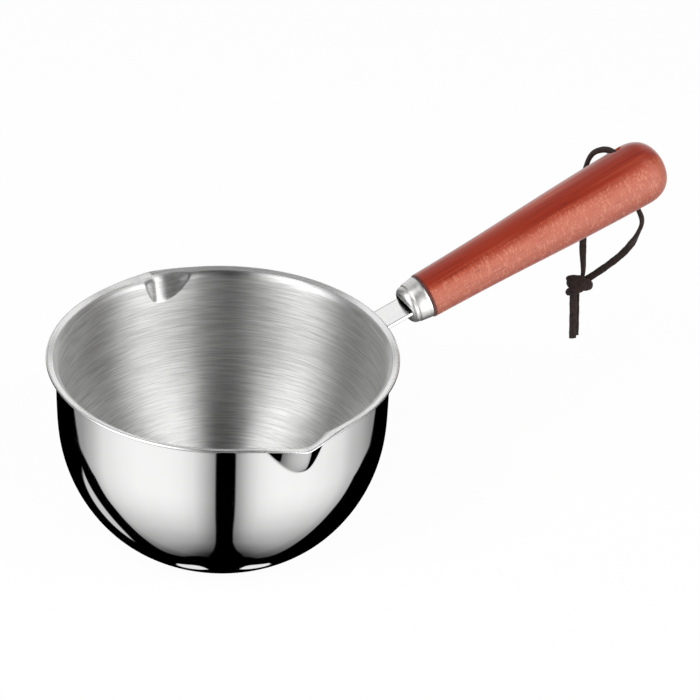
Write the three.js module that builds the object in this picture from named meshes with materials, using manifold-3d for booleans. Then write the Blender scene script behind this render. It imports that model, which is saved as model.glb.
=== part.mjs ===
// A small stainless butter warmer: a round-bottomed bowl with a turned-out rim and two pouring
// spouts, a flat steel strap under the rim, a pressed ferrule, a turned rosewood grip on a
// threaded stud, and a leather lace tied through the end of the grip.
// Millimetres. +Z is up, the origin is the centre of the flat base, and the handle runs towards +X.
import * as THREE from "three";
import { mergeVertices } from "three/addons/utils/BufferGeometryUtils.js";
import Module from "manifold-3d";

// Fits shared by all the pieces
const SEAT_GAP = 0.3;
const WELD_GAP = 0.3;

// Bowl: a straight wall, two arcs that close in under it, and a corner down to the flat base
const BODY_RADIUS = 60.7;
const WALL = 1.0;
const STRAIGHT_DEPTH = 25.5;
const BELLY_RADIUS = 60.6;
const BELLY_SWEEP = THREE.MathUtils.degToRad(37.5);
const LOWER_RADIUS = 43.0;
const LOWER_SWEEP = THREE.MathUtils.degToRad(22.5);
const CORNER_RADIUS = 10.0;

// Rim: the wall turns out over a small bend, rises on outwards and ends in a rounded edge
const RIM_BEND = 2.0;
const FLANGE_WIDTH = 3.3;
const FLANGE_RISE = THREE.MathUtils.degToRad(23);

// Spouts: two pressed half-cone pouches across the bowl from each other, square to the handle
const SPOUT_ANGLES = [Math.PI / 2, -Math.PI / 2];
const SPOUT_DEPTH = 14.9;
const SPOUT_HALF_WIDTH = 15.0;
const SPOUT_SPREAD = 0.65;
const SPOUT_REACH = 5.5;
const SPOUT_FILL = 0.6;
const SPOUT_ROUNDNESS = 0.7;
const LIP_HALF_WIDTH = 25.0;
const LIP_NOSE_SHARE = 0.06;
const LIP_HOLLOW = 2.1;
const LIP_REACH = 4.1;
const LIP_DROP = 1.7;
const LIP_DROP_FADE = 4;

// Strap: welded to the wall by its foot, bent out under the rim, and run up into the ferrule
const STRAP_WIDTH = 12.0;
const STRAP_THICKNESS = 1.5;
const STRAP_BEND = 5.8;
const STRAP_UNDER_RIM = 1.15;
const STRAP_SHOWING = 11.7;
const FOOT_LENGTH = 13.0;
const HANDLE_SLOPE = THREE.MathUtils.degToRad(19.7);

// Ferrule: a slightly tapered band with a domed cap and an oval slot for the strap
const FERRULE_LENGTH = 8.2;
const FERRULE_REAR_RADIUS = 8.45;
const FERRULE_FRONT_RADIUS = 7.8;
const FERRULE_WALL = 0.8;
const CAP_DEPTH = 2.7;
const CAP_STEP = 0.35;
const CAP_FACE_RADIUS = 5.2;
const SLOT_SIDE_CLEARANCE = 0.7;
const SLOT_FACE_CLEARANCE = 0.8;

// Stud: its slotted end is welded over the end of the strap, and the grip is screwed on to it
const STUD_RADIUS = 2.5;
const STUD_LAP = 2.2;
const STUD_IN_GRIP = 34.0;

// Grip: a taper with a slight waist that swells to the end, then rounds over
const GRIP_LENGTH = 109.7;
const GRIP_NOSE_RADIUS = 8.95;
const GRIP_SWELL_RADIUS = 12.58;
const GRIP_WAIST = 0.2;
const GRIP_END_ROUND = 12.1;
const GRIP_END_FULLNESS = 2.55;
const GRIP_EDGE_BREAK = 0.4;
const SPIGOT_LENGTH = 4.2;
const BORE_END_CLEARANCE = 1.0;

// Lace: one leather thong through a cross hole near the end of the grip
const LACE_DIAMETER = 2.4;
const LACE_HOLE_RADIUS = 2.3;
const LACE_HOLE_FROM_END = 16.1;
const LACE_HOLE_ROLL = THREE.MathUtils.degToRad(38);
const LACE_HOLE_LEAN = THREE.MathUtils.degToRad(4);
const KNOT_HALF_WIDTH = 5.5;
const KNOT_HALF_DEPTH = 4.2;
const KNOT_HALF_HEIGHT = 4.0;
const KNOT_WRAP_TILT = THREE.MathUtils.degToRad(16);
const KNOT_TURN = THREE.MathUtils.degToRad(-25);
const LACE_BEND_DEPTH = 2.1;

// Worked out from the sizes above
const LOWER_START = BELLY_SWEEP;
const CORNER_START = BELLY_SWEEP + LOWER_SWEEP;
const BOWL_HEIGHT =
  STRAIGHT_DEPTH +
  BELLY_RADIUS * Math.sin(LOWER_START) +
  LOWER_RADIUS * (Math.sin(CORNER_START) - Math.sin(LOWER_START)) +
  CORNER_RADIUS * (1 - Math.sin(CORNER_START));
const FLANGE_RADIUS = BODY_RADIUS + FLANGE_WIDTH;
const EDGE_RADIUS = WALL / 2;
const EDGE_X = FLANGE_RADIUS - EDGE_RADIUS;
const EDGE_Z = BOWL_HEIGHT - EDGE_RADIUS;
const RIM_BEND_X = BODY_RADIUS + RIM_BEND;
const RIM_BEND_Z =
  EDGE_Z +
  ((RIM_BEND_X - EDGE_X) * Math.sin(FLANGE_RISE) - EDGE_RADIUS - RIM_BEND) / Math.cos(FLANGE_RISE);
const HANDLE_RISE = Math.tan(HANDLE_SLOPE);
const AXIS_AT_RIM =
  BOWL_HEIGHT - WALL - STRAP_UNDER_RIM - STRAP_THICKNESS / 2 / Math.cos(HANDLE_SLOPE);
const FERRULE_FRONT = -FERRULE_LENGTH - SEAT_GAP;
const GRIP_START_X =
  FLANGE_RADIUS + (STRAP_SHOWING - FERRULE_FRONT) * Math.cos(HANDLE_SLOPE);
const GRIP_START_Z = AXIS_AT_RIM + (GRIP_START_X - FLANGE_RADIUS) * HANDLE_RISE;
const STRAP_END = -SPIGOT_LENGTH - WELD_GAP;
const LACE_HOLE_AT = GRIP_LENGTH - LACE_HOLE_FROM_END;

const wasm = await Module();
wasm.setup();

// A closed geometry as a solid that can be joined and cut.
function solidOf(geometry) {
  const bare = new THREE.BufferGeometry();
  bare.setAttribute("position", geometry.getAttribute("position"));
  if (geometry.index) bare.setIndex(geometry.index);
  const merged = mergeVertices(bare, 1e-4);
  return new wasm.Manifold(
    new wasm.Mesh({
      numProp: 3,
      vertProperties: new Float32Array(merged.getAttribute("position").array),
      triVerts: new Uint32Array(merged.index.array),
    }),
  );
}

// A solid as a geometry again.
function geometryOf(solid) {
  const mesh = solid.getMesh();
  const geometry = new THREE.BufferGeometry();
  geometry.setAttribute("position", new THREE.BufferAttribute(mesh.vertProperties, 3));
  geometry.setIndex(new THREE.BufferAttribute(mesh.triVerts, 1));
  geometry.computeVertexNormals();
  return geometry;
}

// A material in the piece's own colour.
function finish(color, roughness, metalness) {
  return new THREE.MeshStandardMaterial({ color, roughness, metalness });
}

// A named mesh.
function piece(name, geometry, material) {
  const mesh = new THREE.Mesh(geometry, material);
  mesh.name = name;
  return mesh;
}

// Points on an arc about (cx, cy), both ends included.
function arcPoints(cx, cy, radius, from, to, steps) {
  return Array.from({ length: steps + 1 }, (_, i) => {
    const angle = from + ((to - from) * i) / steps;
    return new THREE.Vector2(cx + radius * Math.cos(angle), cy + radius * Math.sin(angle));
  });
}

// A turned piece along local +X: the profile's x is the radius and its y the place along the axis.
function turned(profile, sides) {
  return new THREE.LatheGeometry(profile, sides).rotateZ(-Math.PI / 2);
}

// One side of the bowl's wall from the base up to the rim bend, a given distance inside the outside.
function bowlSide(inset) {
  const cornerX =
    BODY_RADIUS -
    BELLY_RADIUS +
    (BELLY_RADIUS - LOWER_RADIUS) * Math.cos(LOWER_START) +
    (LOWER_RADIUS - CORNER_RADIUS) * Math.cos(CORNER_START);
  const bellyZ = BOWL_HEIGHT - STRAIGHT_DEPTH;
  const lowerX = BODY_RADIUS - BELLY_RADIUS + (BELLY_RADIUS - LOWER_RADIUS) * Math.cos(LOWER_START);
  const lowerZ = bellyZ - (BELLY_RADIUS - LOWER_RADIUS) * Math.sin(LOWER_START);
  const pouchFoot = BOWL_HEIGHT - SPOUT_DEPTH;
  const corner = arcPoints(cornerX, CORNER_RADIUS, CORNER_RADIUS - inset, -Math.PI / 2, -CORNER_START, 3);
  const lower = arcPoints(lowerX, lowerZ, LOWER_RADIUS - inset, -CORNER_START, -LOWER_START, 3);
  const belly = arcPoints(BODY_RADIUS - BELLY_RADIUS, bellyZ, BELLY_RADIUS - inset, -LOWER_START, 0, 5);
  const pouchShares = [0, 0.06, 0.16, 0.34, 0.54, 0.76];
  const wall = pouchShares.map(
    (share) => new THREE.Vector2(BODY_RADIUS - inset, pouchFoot + share * (RIM_BEND_Z - pouchFoot)),
  );
  return [new THREE.Vector2(0, inset), ...corner, ...lower.slice(1), ...belly.slice(1), ...wall];
}

// The rim's bend on one face of the sheet, from the wall out to the flange.
function rimBend(radius) {
  return arcPoints(RIM_BEND_X, RIM_BEND_Z, radius, Math.PI, Math.PI / 2 + FLANGE_RISE, 3);
}

// A pouch's round section, from 1 at the middle to 0 at the crease, for a place q from -1 to 1.
function pouchSection(q) {
  return Math.max(0, 1 - q * q) ** SPOUT_ROUNDNESS;
}

// The lip's hollow-sided V seen from above, from 1 at the nose to 0 where it runs into the rim.
function lipSection(q) {
  const place = Math.hypot(q, LIP_NOSE_SHARE);
  return (Math.max(0, 1 - place) / (1 - LIP_NOSE_SHARE)) ** LIP_HOLLOW;
}

// How far one spout moves a point of the bowl out and down.
function spoutShift(radius, angle, z, spoutAngle) {
  const turn = Math.atan2(Math.sin(angle - spoutAngle), Math.cos(angle - spoutAngle));
  const across = turn * BODY_RADIUS;
  const climb = THREE.MathUtils.clamp((z - BOWL_HEIGHT + SPOUT_DEPTH) / SPOUT_DEPTH, 0, 1);
  if (climb === 0 || radius < BODY_RADIUS - 2 * WALL) return { out: 0, down: 0 };
  const halfWidth = SPOUT_HALF_WIDTH * climb ** SPOUT_SPREAD;
  const pouch = SPOUT_REACH * climb ** SPOUT_FILL * pouchSection(across / halfWidth);
  const lipShape = lipSection(across / LIP_HALF_WIDTH);
  const onFlange = THREE.MathUtils.clamp((radius - BODY_RADIUS) / FLANGE_WIDTH, 0, 1);
  return {
    out: THREE.MathUtils.lerp(pouch, LIP_REACH * lipShape, onFlange),
    down: LIP_DROP * lipShape * climb ** LIP_DROP_FADE,
  };
}

// The bowl: one sheet turned about +Z, with the spouts pressed out of it.
function bowlGeometry() {
  const sides = 68;
  const crowding = 0.31;
  const edgeFrom = FLANGE_RISE - Math.PI / 2;
  const edge = arcPoints(EDGE_X, EDGE_Z, EDGE_RADIUS, edgeFrom, edgeFrom + Math.PI, 4);
  const outside = [...bowlSide(0), ...rimBend(RIM_BEND)];
  const inside = [...bowlSide(WALL), ...rimBend(RIM_BEND + WALL)].reverse();
  const geometry = new THREE.LatheGeometry([...outside, ...edge, ...inside], sides);
  const position = geometry.getAttribute("position");
  for (let i = 0; i < position.count; i += 1) {
    const radius = Math.hypot(position.getX(i), position.getZ(i));
    const evenAngle = Math.atan2(position.getX(i), position.getZ(i));
    const angle = evenAngle + crowding * Math.sin(2 * evenAngle);
    const z = position.getY(i);
    const shifts = SPOUT_ANGLES.map((spout) => spoutShift(radius, angle, z, spout));
    const out = radius + shifts.reduce((sum, shift) => sum + shift.out, 0);
    const down = shifts.reduce((sum, shift) => sum + shift.down, 0);
    position.setXYZ(i, out * Math.cos(angle), out * Math.sin(angle), z - down);
  }
  return geometry;
}

// The strap's side view: foot up the wall, bend, then straight along the handle's axis.
function strapOutline() {
  const half = STRAP_THICKNESS / 2;
  const footX = BODY_RADIUS + WELD_GAP + half;
  const bendX = footX + STRAP_BEND;
  const up = new THREE.Vector2(-Math.sin(HANDLE_SLOPE), Math.cos(HANDLE_SLOPE));
  const along = new THREE.Vector2(Math.cos(HANDLE_SLOPE), Math.sin(HANDLE_SLOPE));
  const leaveX = bendX + STRAP_BEND * up.x;
  const leaveZ = GRIP_START_Z + (leaveX - GRIP_START_X) * HANDLE_RISE;
  const bendZ = leaveZ - STRAP_BEND * up.y;
  const end = new THREE.Vector2(GRIP_START_X, GRIP_START_Z).addScaledVector(along, STRAP_END);
  const upAngle = Math.PI / 2 + HANDLE_SLOPE;
  const outline = new THREE.Shape();
  outline.moveTo(footX - half, bendZ - FOOT_LENGTH);
  outline.lineTo(footX - half, bendZ);
  outline.absarc(bendX, bendZ, STRAP_BEND + half, Math.PI, upAngle, true);
  outline.lineTo(end.x + half * up.x, end.y + half * up.y);
  outline.lineTo(end.x - half * up.x, end.y - half * up.y);
  outline.absarc(bendX, bendZ, STRAP_BEND - half, upAngle, Math.PI, false);
  outline.lineTo(footX + half, bendZ - FOOT_LENGTH);
  outline.closePath();
  return { outline, bendZ, leaveZ };
}

// The strap: its side view given width, with the foot curved round the bowl's wall.
function strapGeometry() {
  const { outline, bendZ, leaveZ } = strapOutline();
  const geometry = new THREE.ExtrudeGeometry(outline, {
    depth: STRAP_WIDTH,
    steps: 6,
    bevelEnabled: false,
    curveSegments: 6,
  });
  geometry.translate(0, 0, -STRAP_WIDTH / 2).rotateX(Math.PI / 2);
  const position = geometry.getAttribute("position");
  for (let i = 0; i < position.count; i += 1) {
    const y = position.getY(i);
    const onFoot = THREE.MathUtils.clamp((leaveZ - position.getZ(i)) / (leaveZ - bendZ), 0, 1);
    const sag = BODY_RADIUS - Math.sqrt(BODY_RADIUS ** 2 - y ** 2);
    position.setX(i, position.getX(i) - sag * onFoot);
  }
  return geometry;
}

// The ferrule's inside radius at a place along the handle's axis.
function ferruleInside(s) {
  const share = THREE.MathUtils.clamp((s - FERRULE_FRONT - CAP_DEPTH) / (FERRULE_LENGTH - CAP_DEPTH), 0, 1);
  return THREE.MathUtils.lerp(FERRULE_FRONT_RADIUS, FERRULE_REAR_RADIUS, share) - FERRULE_WALL;
}

// The ferrule: a turned cup, open at the back, with the strap's slot cut through its cap.
function ferruleGeometry() {
  const rear = FERRULE_FRONT + FERRULE_LENGTH;
  const shoulder = FERRULE_FRONT + CAP_DEPTH;
  const capRadius = FERRULE_FRONT_RADIUS - CAP_STEP;
  const domeRise = CAP_DEPTH - CAP_STEP;
  const dome = Array.from({ length: 5 }, (_, i) => {
    const angle = (Math.PI / 2) * (i / 4);
    return new THREE.Vector2(
      CAP_FACE_RADIUS + (capRadius - CAP_FACE_RADIUS) * Math.sin(angle),
      FERRULE_FRONT + domeRise * (1 - Math.cos(angle)),
    );
  });
  const profile = [
    new THREE.Vector2(0, FERRULE_FRONT),
    ...dome,
    new THREE.Vector2(capRadius, shoulder),
    new THREE.Vector2(FERRULE_FRONT_RADIUS, shoulder + CAP_STEP),
    new THREE.Vector2(FERRULE_REAR_RADIUS, rear),
    new THREE.Vector2(ferruleInside(rear), rear),
    new THREE.Vector2(ferruleInside(shoulder) - CAP_STEP, shoulder),
    new THREE.Vector2(CAP_FACE_RADIUS, FERRULE_FRONT + FERRULE_WALL),
    new THREE.Vector2(0, FERRULE_FRONT + FERRULE_WALL),
  ];
  const slotHalfHeight = STRAP_THICKNESS / 2 + SLOT_FACE_CLEARANCE;
  const slotHalfWidth = STRAP_WIDTH / 2 + SLOT_SIDE_CLEARANCE;
  const slot = new THREE.Shape();
  slot.absarc(slotHalfWidth - slotHalfHeight, 0, slotHalfHeight, -Math.PI / 2, Math.PI / 2, false);
  slot.absarc(slotHalfHeight - slotHalfWidth, 0, slotHalfHeight, Math.PI / 2, (3 * Math.PI) / 2, false);
  const cutter = new THREE.ExtrudeGeometry(slot, {
    depth: CAP_DEPTH,
    bevelEnabled: false,
    curveSegments: 6,
  });
  cutter.rotateX(Math.PI / 2).rotateZ(Math.PI / 2);
  cutter.translate(FERRULE_FRONT - SEAT_GAP, 0, 0);
  return geometryOf(solidOf(turned(profile, 32)).subtract(solidOf(cutter)));
}

// The stud: a rod whose slotted end straddles the end of the strap.
function studGeometry() {
  const front = STRAP_END - STUD_LAP;
  const rod = new THREE.CylinderGeometry(STUD_RADIUS, STUD_RADIUS, STUD_IN_GRIP - front, 16);
  rod.rotateZ(-Math.PI / 2).translate((STUD_IN_GRIP + front) / 2, 0, 0);
  const slotHeight = STRAP_THICKNESS + 2 * WELD_GAP;
  const slotLength = STUD_LAP + 2 * WELD_GAP;
  const slot = new THREE.BoxGeometry(slotLength, 3 * STUD_RADIUS, slotHeight);
  slot.translate(front + slotLength / 2 - WELD_GAP, 0, 0);
  return geometryOf(solidOf(rod).subtract(solidOf(slot)));
}

// The grip's outside radius at a place along its length.
function gripRadius(s) {
  const swellAt = GRIP_LENGTH - GRIP_END_ROUND;
  if (s <= swellAt) {
    const waist = GRIP_WAIST * Math.sin((2 * Math.PI * s) / swellAt);
    return THREE.MathUtils.lerp(GRIP_NOSE_RADIUS, GRIP_SWELL_RADIUS, s / swellAt) - waist;
  }
  const past = Math.min(1, (s - swellAt) / GRIP_END_ROUND);
  return GRIP_SWELL_RADIUS * (1 - past ** GRIP_END_FULLNESS) ** (1 / GRIP_END_FULLNESS);
}

// A point of the lace's cross hole, a distance from the grip's axis along the hole.
function holePoint(t) {
  const point = new THREE.Vector3(t * Math.sin(LACE_HOLE_LEAN), 0, t * Math.cos(LACE_HOLE_LEAN));
  point.applyAxisAngle(new THREE.Vector3(1, 0, 0), -LACE_HOLE_ROLL);
  return point.add(new THREE.Vector3(LACE_HOLE_AT, 0, 0));
}

// The grip: a turned handle with a spigot for the ferrule, a bore for the stud and the lace's hole.
function gripGeometry() {
  const boreRadius = STUD_RADIUS + SEAT_GAP;
  const boreEnd = STUD_IN_GRIP + BORE_END_CLEARANCE;
  const swellAt = GRIP_LENGTH - GRIP_END_ROUND;
  const taper = [0.15, 0.3, 0.45, 0.6, 0.75, 0.88].map((share) => share * swellAt);
  const endShares = [0, 0.25, 0.48, 0.67, 0.81, 0.91, 0.97, 0.995];
  const places = [...taper, ...endShares.map((share) => swellAt + share * GRIP_END_ROUND)];
  const profile = [
    new THREE.Vector2(0, boreEnd),
    new THREE.Vector2(boreRadius, boreEnd),
    new THREE.Vector2(boreRadius, -SPIGOT_LENGTH),
    new THREE.Vector2(ferruleInside(-SPIGOT_LENGTH) - SEAT_GAP, -SPIGOT_LENGTH),
    new THREE.Vector2(ferruleInside(0) - SEAT_GAP, 0),
    new THREE.Vector2(GRIP_NOSE_RADIUS - GRIP_EDGE_BREAK, 0),
    new THREE.Vector2(gripRadius(GRIP_EDGE_BREAK), GRIP_EDGE_BREAK),
    ...places.map((s) => new THREE.Vector2(gripRadius(s), s)),
    new THREE.Vector2(0, GRIP_LENGTH),
  ];
  const hole = new THREE.CylinderGeometry(LACE_HOLE_RADIUS, LACE_HOLE_RADIUS, 3 * GRIP_SWELL_RADIUS, 16);
  hole.rotateX(Math.PI / 2).rotateY(LACE_HOLE_LEAN).rotateX(-LACE_HOLE_ROLL);
  hole.translate(LACE_HOLE_AT, 0, 0);
  return geometryOf(solidOf(turned(profile, 30)).subtract(solidOf(hole)));
}

// The lace's routes, in the handle's own frame: along the grip, across it, and square up from it.
const HINGE_STAND_OFF = LACE_DIAMETER / 2 + SEAT_GAP;
const HOLE_MOUTH = gripRadius(LACE_HOLE_AT);
const FRONT_LEAVES = holePoint(-HOLE_MOUTH - HINGE_STAND_OFF);
const BACK_LEAVES = new THREE.Vector3(83.3, 13.8, -2.0);
const LOOP_ROUTE = [
  holePoint(-HOLE_MOUTH),
  holePoint(-HOLE_MOUTH / 2),
  holePoint(0),
  holePoint(HOLE_MOUTH / 2),
  holePoint(HOLE_MOUTH - LACE_BEND_DEPTH),
  new THREE.Vector3(94.1, 7.7, 9.5),
  new THREE.Vector3(93.2, 8.9, 10.3),
  new THREE.Vector3(92.0, 10.2, 10.8),
  new THREE.Vector3(90.6, 11.4, 10.8),
  new THREE.Vector3(89.1, 12.5, 10.3),
  new THREE.Vector3(87.6, 13.3, 9.0),
  new THREE.Vector3(86.3, 13.7, 6.9),
  new THREE.Vector3(85.2, 13.8, 4.4),
  new THREE.Vector3(84.3, 13.8, 1.8),
  BACK_LEAVES.clone().add(new THREE.Vector3(0.4, 0, HINGE_STAND_OFF)),
];
const FRONT_ROUTE = [
  FRONT_LEAVES,
  new THREE.Vector3(92.5, -9.4, -13.3),
  new THREE.Vector3(91.9, -9.1, -16.2),
  new THREE.Vector3(91.2, -7.8, -19.2),
  new THREE.Vector3(90.1, -5.8, -23.1),
  new THREE.Vector3(88.5, -3.0, -27.8),
  new THREE.Vector3(86.3, 0.0, -32.3),
  new THREE.Vector3(83.8, 2.9, -35.9),
  new THREE.Vector3(80.6, 5.8, -39.2),
  new THREE.Vector3(77.4, 8.2, -41.8),
  new THREE.Vector3(74.2, 9.9, -43.6),
  new THREE.Vector3(71.4, 10.5, -44.3),
];
const BACK_ROUTE = [
  BACK_LEAVES,
  new THREE.Vector3(82.0, 13.8, -7.2),
  new THREE.Vector3(79.5, 13.5, -16.5),
  new THREE.Vector3(76.6, 12.8, -26.9),
  new THREE.Vector3(74.4, 12.0, -34.6),
  new THREE.Vector3(72.2, 11.2, -41.6),
];
const KNOT_CENTRE = new THREE.Vector3(69.2, 10.6, -44.6);
const NEAR_TAIL_ROUTE = [
  new THREE.Vector3(66.2, 9.9, -45.4),
  new THREE.Vector3(64.5, 9.6, -49.8),
  new THREE.Vector3(62.4, 9.5, -58.4),
  new THREE.Vector3(60.2, 9.4, -67.0),
];
const TAIL_SPACING = new THREE.Vector3(2.2, 1.6, -0.8);
const FAR_TAIL_ROUTE = NEAR_TAIL_ROUTE.map((point) => point.clone().add(TAIL_SPACING));

// A length of lace along a route.
function laceTube(route, steps) {
  const section = new THREE.Shape(
    Array.from({ length: 8 }, (_, i) => {
      const angle = (i / 8) * 2 * Math.PI;
      return new THREE.Vector2(Math.cos(angle), Math.sin(angle)).multiplyScalar(LACE_DIAMETER / 2);
    }),
  );
  const extrudePath = new THREE.CatmullRomCurve3(route);
  return new THREE.ExtrudeGeometry(section, { steps, extrudePath, bevelEnabled: false });
}

// A strand below the grip: round where it turns on the fixed lace, and cut back from the knot.
function strandGeometry(route, steps, knot) {
  const turn = new THREE.SphereGeometry(LACE_DIAMETER / 2, 8, 6);
  turn.translate(route[0].x, route[0].y, route[0].z);
  return geometryOf(solidOf(laceTube(route, steps)).add(solidOf(turn)).subtract(knot));
}

// The overhand knot's outer form: a core with two crossed wraps round it, grown by a margin.
function knotSolid(margin) {
  const wrapTube = LACE_DIAMETER / 2 + margin;
  const core = new THREE.SphereGeometry(1, 16, 10);
  core.rotateX(Math.PI / 2);
  core.scale(
    KNOT_HALF_WIDTH - LACE_DIAMETER / 2 + margin,
    KNOT_HALF_DEPTH - LACE_DIAMETER / 2 + margin,
    KNOT_HALF_HEIGHT + margin,
  );
  const wraps = [1, -1].map((side) => {
    const wrap = new THREE.TorusGeometry(1, wrapTube / (KNOT_HALF_WIDTH - LACE_DIAMETER / 2), 8, 18);
    wrap.scale(
      KNOT_HALF_WIDTH - LACE_DIAMETER / 2,
      KNOT_HALF_DEPTH - LACE_DIAMETER / 2,
      KNOT_HALF_WIDTH - LACE_DIAMETER / 2,
    );
    wrap.rotateY(side * KNOT_WRAP_TILT).translate(0, 0, (side * KNOT_HALF_HEIGHT) / 3);
    return solidOf(wrap);
  });
  const knot = wraps.reduce((sum, wrap) => sum.add(wrap), solidOf(core));
  const upright = new THREE.Matrix4().makeRotationY(HANDLE_SLOPE);
  const turn = new THREE.Matrix4().makeRotationZ(KNOT_TURN);
  return knot.transform(upright.multiply(turn).setPosition(KNOT_CENTRE).elements);
}

// The handle's frame: +X along its axis from the grip's shoulder, +Y across, +Z square up from it.
const handle = new THREE.Group();
handle.position.set(GRIP_START_X, 0, GRIP_START_Z);
handle.rotation.y = -HANDLE_SLOPE;

const LEATHER = 0x3a2c2a;
const clearOfKnot = knotSolid(SEAT_GAP);
handle.add(
  piece("ferrule", ferruleGeometry(), finish(0xc9c8c6, 0.35, 1)),
  piece("tang_stud", studGeometry(), finish(0xa9abad, 0.45, 1)),
  piece("grip", gripGeometry(), finish(0xa8452f, 0.45, 0)),
  piece("lace_loop", laceTube(LOOP_ROUTE, 20), finish(LEATHER, 0.8, 0)),
  piece("lace_front_strand", strandGeometry(FRONT_ROUTE, 12, clearOfKnot), finish(LEATHER, 0.8, 0)),
  piece("lace_back_strand", strandGeometry(BACK_ROUTE, 8, clearOfKnot), finish(LEATHER, 0.8, 0)),
  piece("lace_knot", geometryOf(knotSolid(0)), finish(LEATHER, 0.8, 0)),
);
const tails = { lace_near_tail: NEAR_TAIL_ROUTE, lace_far_tail: FAR_TAIL_ROUTE };
Object.entries(tails).forEach(([name, route]) => {
  const tail = geometryOf(solidOf(laceTube(route, 4)).subtract(clearOfKnot));
  handle.add(piece(name, tail, finish(LEATHER, 0.8, 0)));
});

const butterWarmer = new THREE.Group();
butterWarmer.add(
  piece("bowl", bowlGeometry(), finish(0xd6d6d6, 0.12, 1)),
  piece("handle_strap", strapGeometry(), finish(0xdedede, 0.2, 1)),
  handle,
);

export default butterWarmer;
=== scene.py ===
"""Butter warmer: a small steel pan with two spouts, a rosewood grip and a leather lace.

Shapes are worked out in millimetres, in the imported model's frame: +Z up, the origin in the middle
of the flat base, the handle towards +X. A mesh gets metres only when it is made.
"""

import logging
import math
from dataclasses import astuple
from dataclasses import dataclass
from dataclasses import field
from enum import Enum
from typing import Sequence

import bmesh
import bpy
import numpy as np
from mathutils import Matrix


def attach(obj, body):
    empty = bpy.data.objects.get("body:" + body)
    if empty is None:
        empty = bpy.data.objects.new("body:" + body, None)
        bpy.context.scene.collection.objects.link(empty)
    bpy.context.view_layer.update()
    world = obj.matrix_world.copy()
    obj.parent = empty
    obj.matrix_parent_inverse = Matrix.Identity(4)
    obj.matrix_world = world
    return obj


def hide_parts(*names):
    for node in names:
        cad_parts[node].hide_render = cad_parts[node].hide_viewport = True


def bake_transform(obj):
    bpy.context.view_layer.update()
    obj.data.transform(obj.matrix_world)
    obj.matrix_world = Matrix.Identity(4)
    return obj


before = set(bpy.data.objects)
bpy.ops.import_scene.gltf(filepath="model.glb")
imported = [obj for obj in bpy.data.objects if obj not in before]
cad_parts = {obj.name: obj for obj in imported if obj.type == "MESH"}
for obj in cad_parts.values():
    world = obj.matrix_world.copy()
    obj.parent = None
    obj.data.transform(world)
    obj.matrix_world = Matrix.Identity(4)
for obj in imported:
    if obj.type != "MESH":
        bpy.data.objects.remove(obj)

LOG = logging.getLogger("butter_warmer")
METRES = 0.001
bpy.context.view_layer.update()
Triple = tuple[float, float, float]
Table = tuple[tuple[float, float], ...]
Socket = bpy.types.NodeSocket


class Body(Enum):
    """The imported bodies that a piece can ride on."""

    PAN = "pan"
    LANYARD = "lanyard"


class Slot(Enum):
    """The record's material slot names, which no piece here reads."""

    POLISHED_STEEL = "polished_steel"
    STRAP_STEEL = "strap_steel"
    FERRULE_STEEL = "ferrule_steel"
    ROSEWOOD = "rosewood"
    LEATHER = "lace_leather"


def smooth_step(low: float, high: float, value: np.ndarray) -> np.ndarray:
    """Rise from 0 at low to 1 at high along 3t^2 - 2t^3."""
    t = np.clip((value - low) / (high - low), 0.0, 1.0)
    return t * t * (3.0 - 2.0 * t)


def unit(vectors: np.ndarray) -> np.ndarray:
    """Each vector divided by its own length."""
    return vectors / np.linalg.norm(vectors, axis=-1, keepdims=True)


def line(start: Sequence[float], end: Sequence[float], count: int) -> np.ndarray:
    """Points spread evenly from start up to, but not including, end."""
    share = np.linspace(0.0, 1.0, count, endpoint=False)[:, None]
    return np.asarray(start) * (1.0 - share) + np.asarray(end) * share


def arc(centre: Sequence[float], radius: float, start: float, end: float, count: int) -> np.ndarray:
    """Points on a circle about centre, from angle start up to, but not including, angle end."""
    turn = np.linspace(start, end, count, endpoint=False)
    return np.stack([centre[0] + radius * np.cos(turn), centre[1] + radius * np.sin(turn)], axis=-1)


def full_turn(count: int) -> np.ndarray:
    """Angles spread evenly once round a circle."""
    return np.linspace(0.0, 2.0 * math.pi, count, endpoint=False)


def running_sum(values: np.ndarray) -> np.ndarray:
    """The area under evenly spaced values up to each of them, by trapezoids one step wide."""
    return np.concatenate([[0.0], np.cumsum(0.5 * (values[1:] + values[:-1]))])


def running_length(points: np.ndarray) -> np.ndarray:
    """The length of a line of points up to each of them."""
    return np.concatenate([[0.0], np.cumsum(np.linalg.norm(np.diff(points, axis=0), axis=1))])


def spline(points: np.ndarray, per_span: int) -> np.ndarray:
    """A curve through all the points whose slope and bend are continuous.

    The parameter is the running chord length. The second derivatives at the points solve the
    usual natural-spline equations, and each span is the cubic that they give.

    Args:
        points: The points to pass through, one per row.
        per_span: How many samples each span between two points gets.

    Returns:
        The samples, one per row, both ends included.
    """
    count = len(points)
    knots = running_length(points)
    gaps = np.diff(knots)
    slopes = np.diff(points, axis=0) / gaps[:, None]
    system = np.eye(count)
    inner = np.arange(1, count - 1)
    system[inner, inner - 1] = gaps[:-1]
    system[inner, inner] = 2.0 * (gaps[:-1] + gaps[1:])
    system[inner, inner + 1] = gaps[1:]
    right = np.zeros_like(points)
    right[1:-1] = 6.0 * np.diff(slopes, axis=0)
    bend = np.linalg.solve(system, right)
    at = np.linspace(0.0, count - 1.0, (count - 1) * per_span + 1)
    span = np.minimum(at.astype(int), count - 2)
    b = (at - span)[:, None]
    a = 1.0 - b
    width = gaps[span][:, None]
    straight = a * points[span] + b * points[span + 1]
    curved = ((a**3 - a) * bend[span] + (b**3 - b) * bend[span + 1]) * width**2 / 6.0
    return straight + curved


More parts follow.
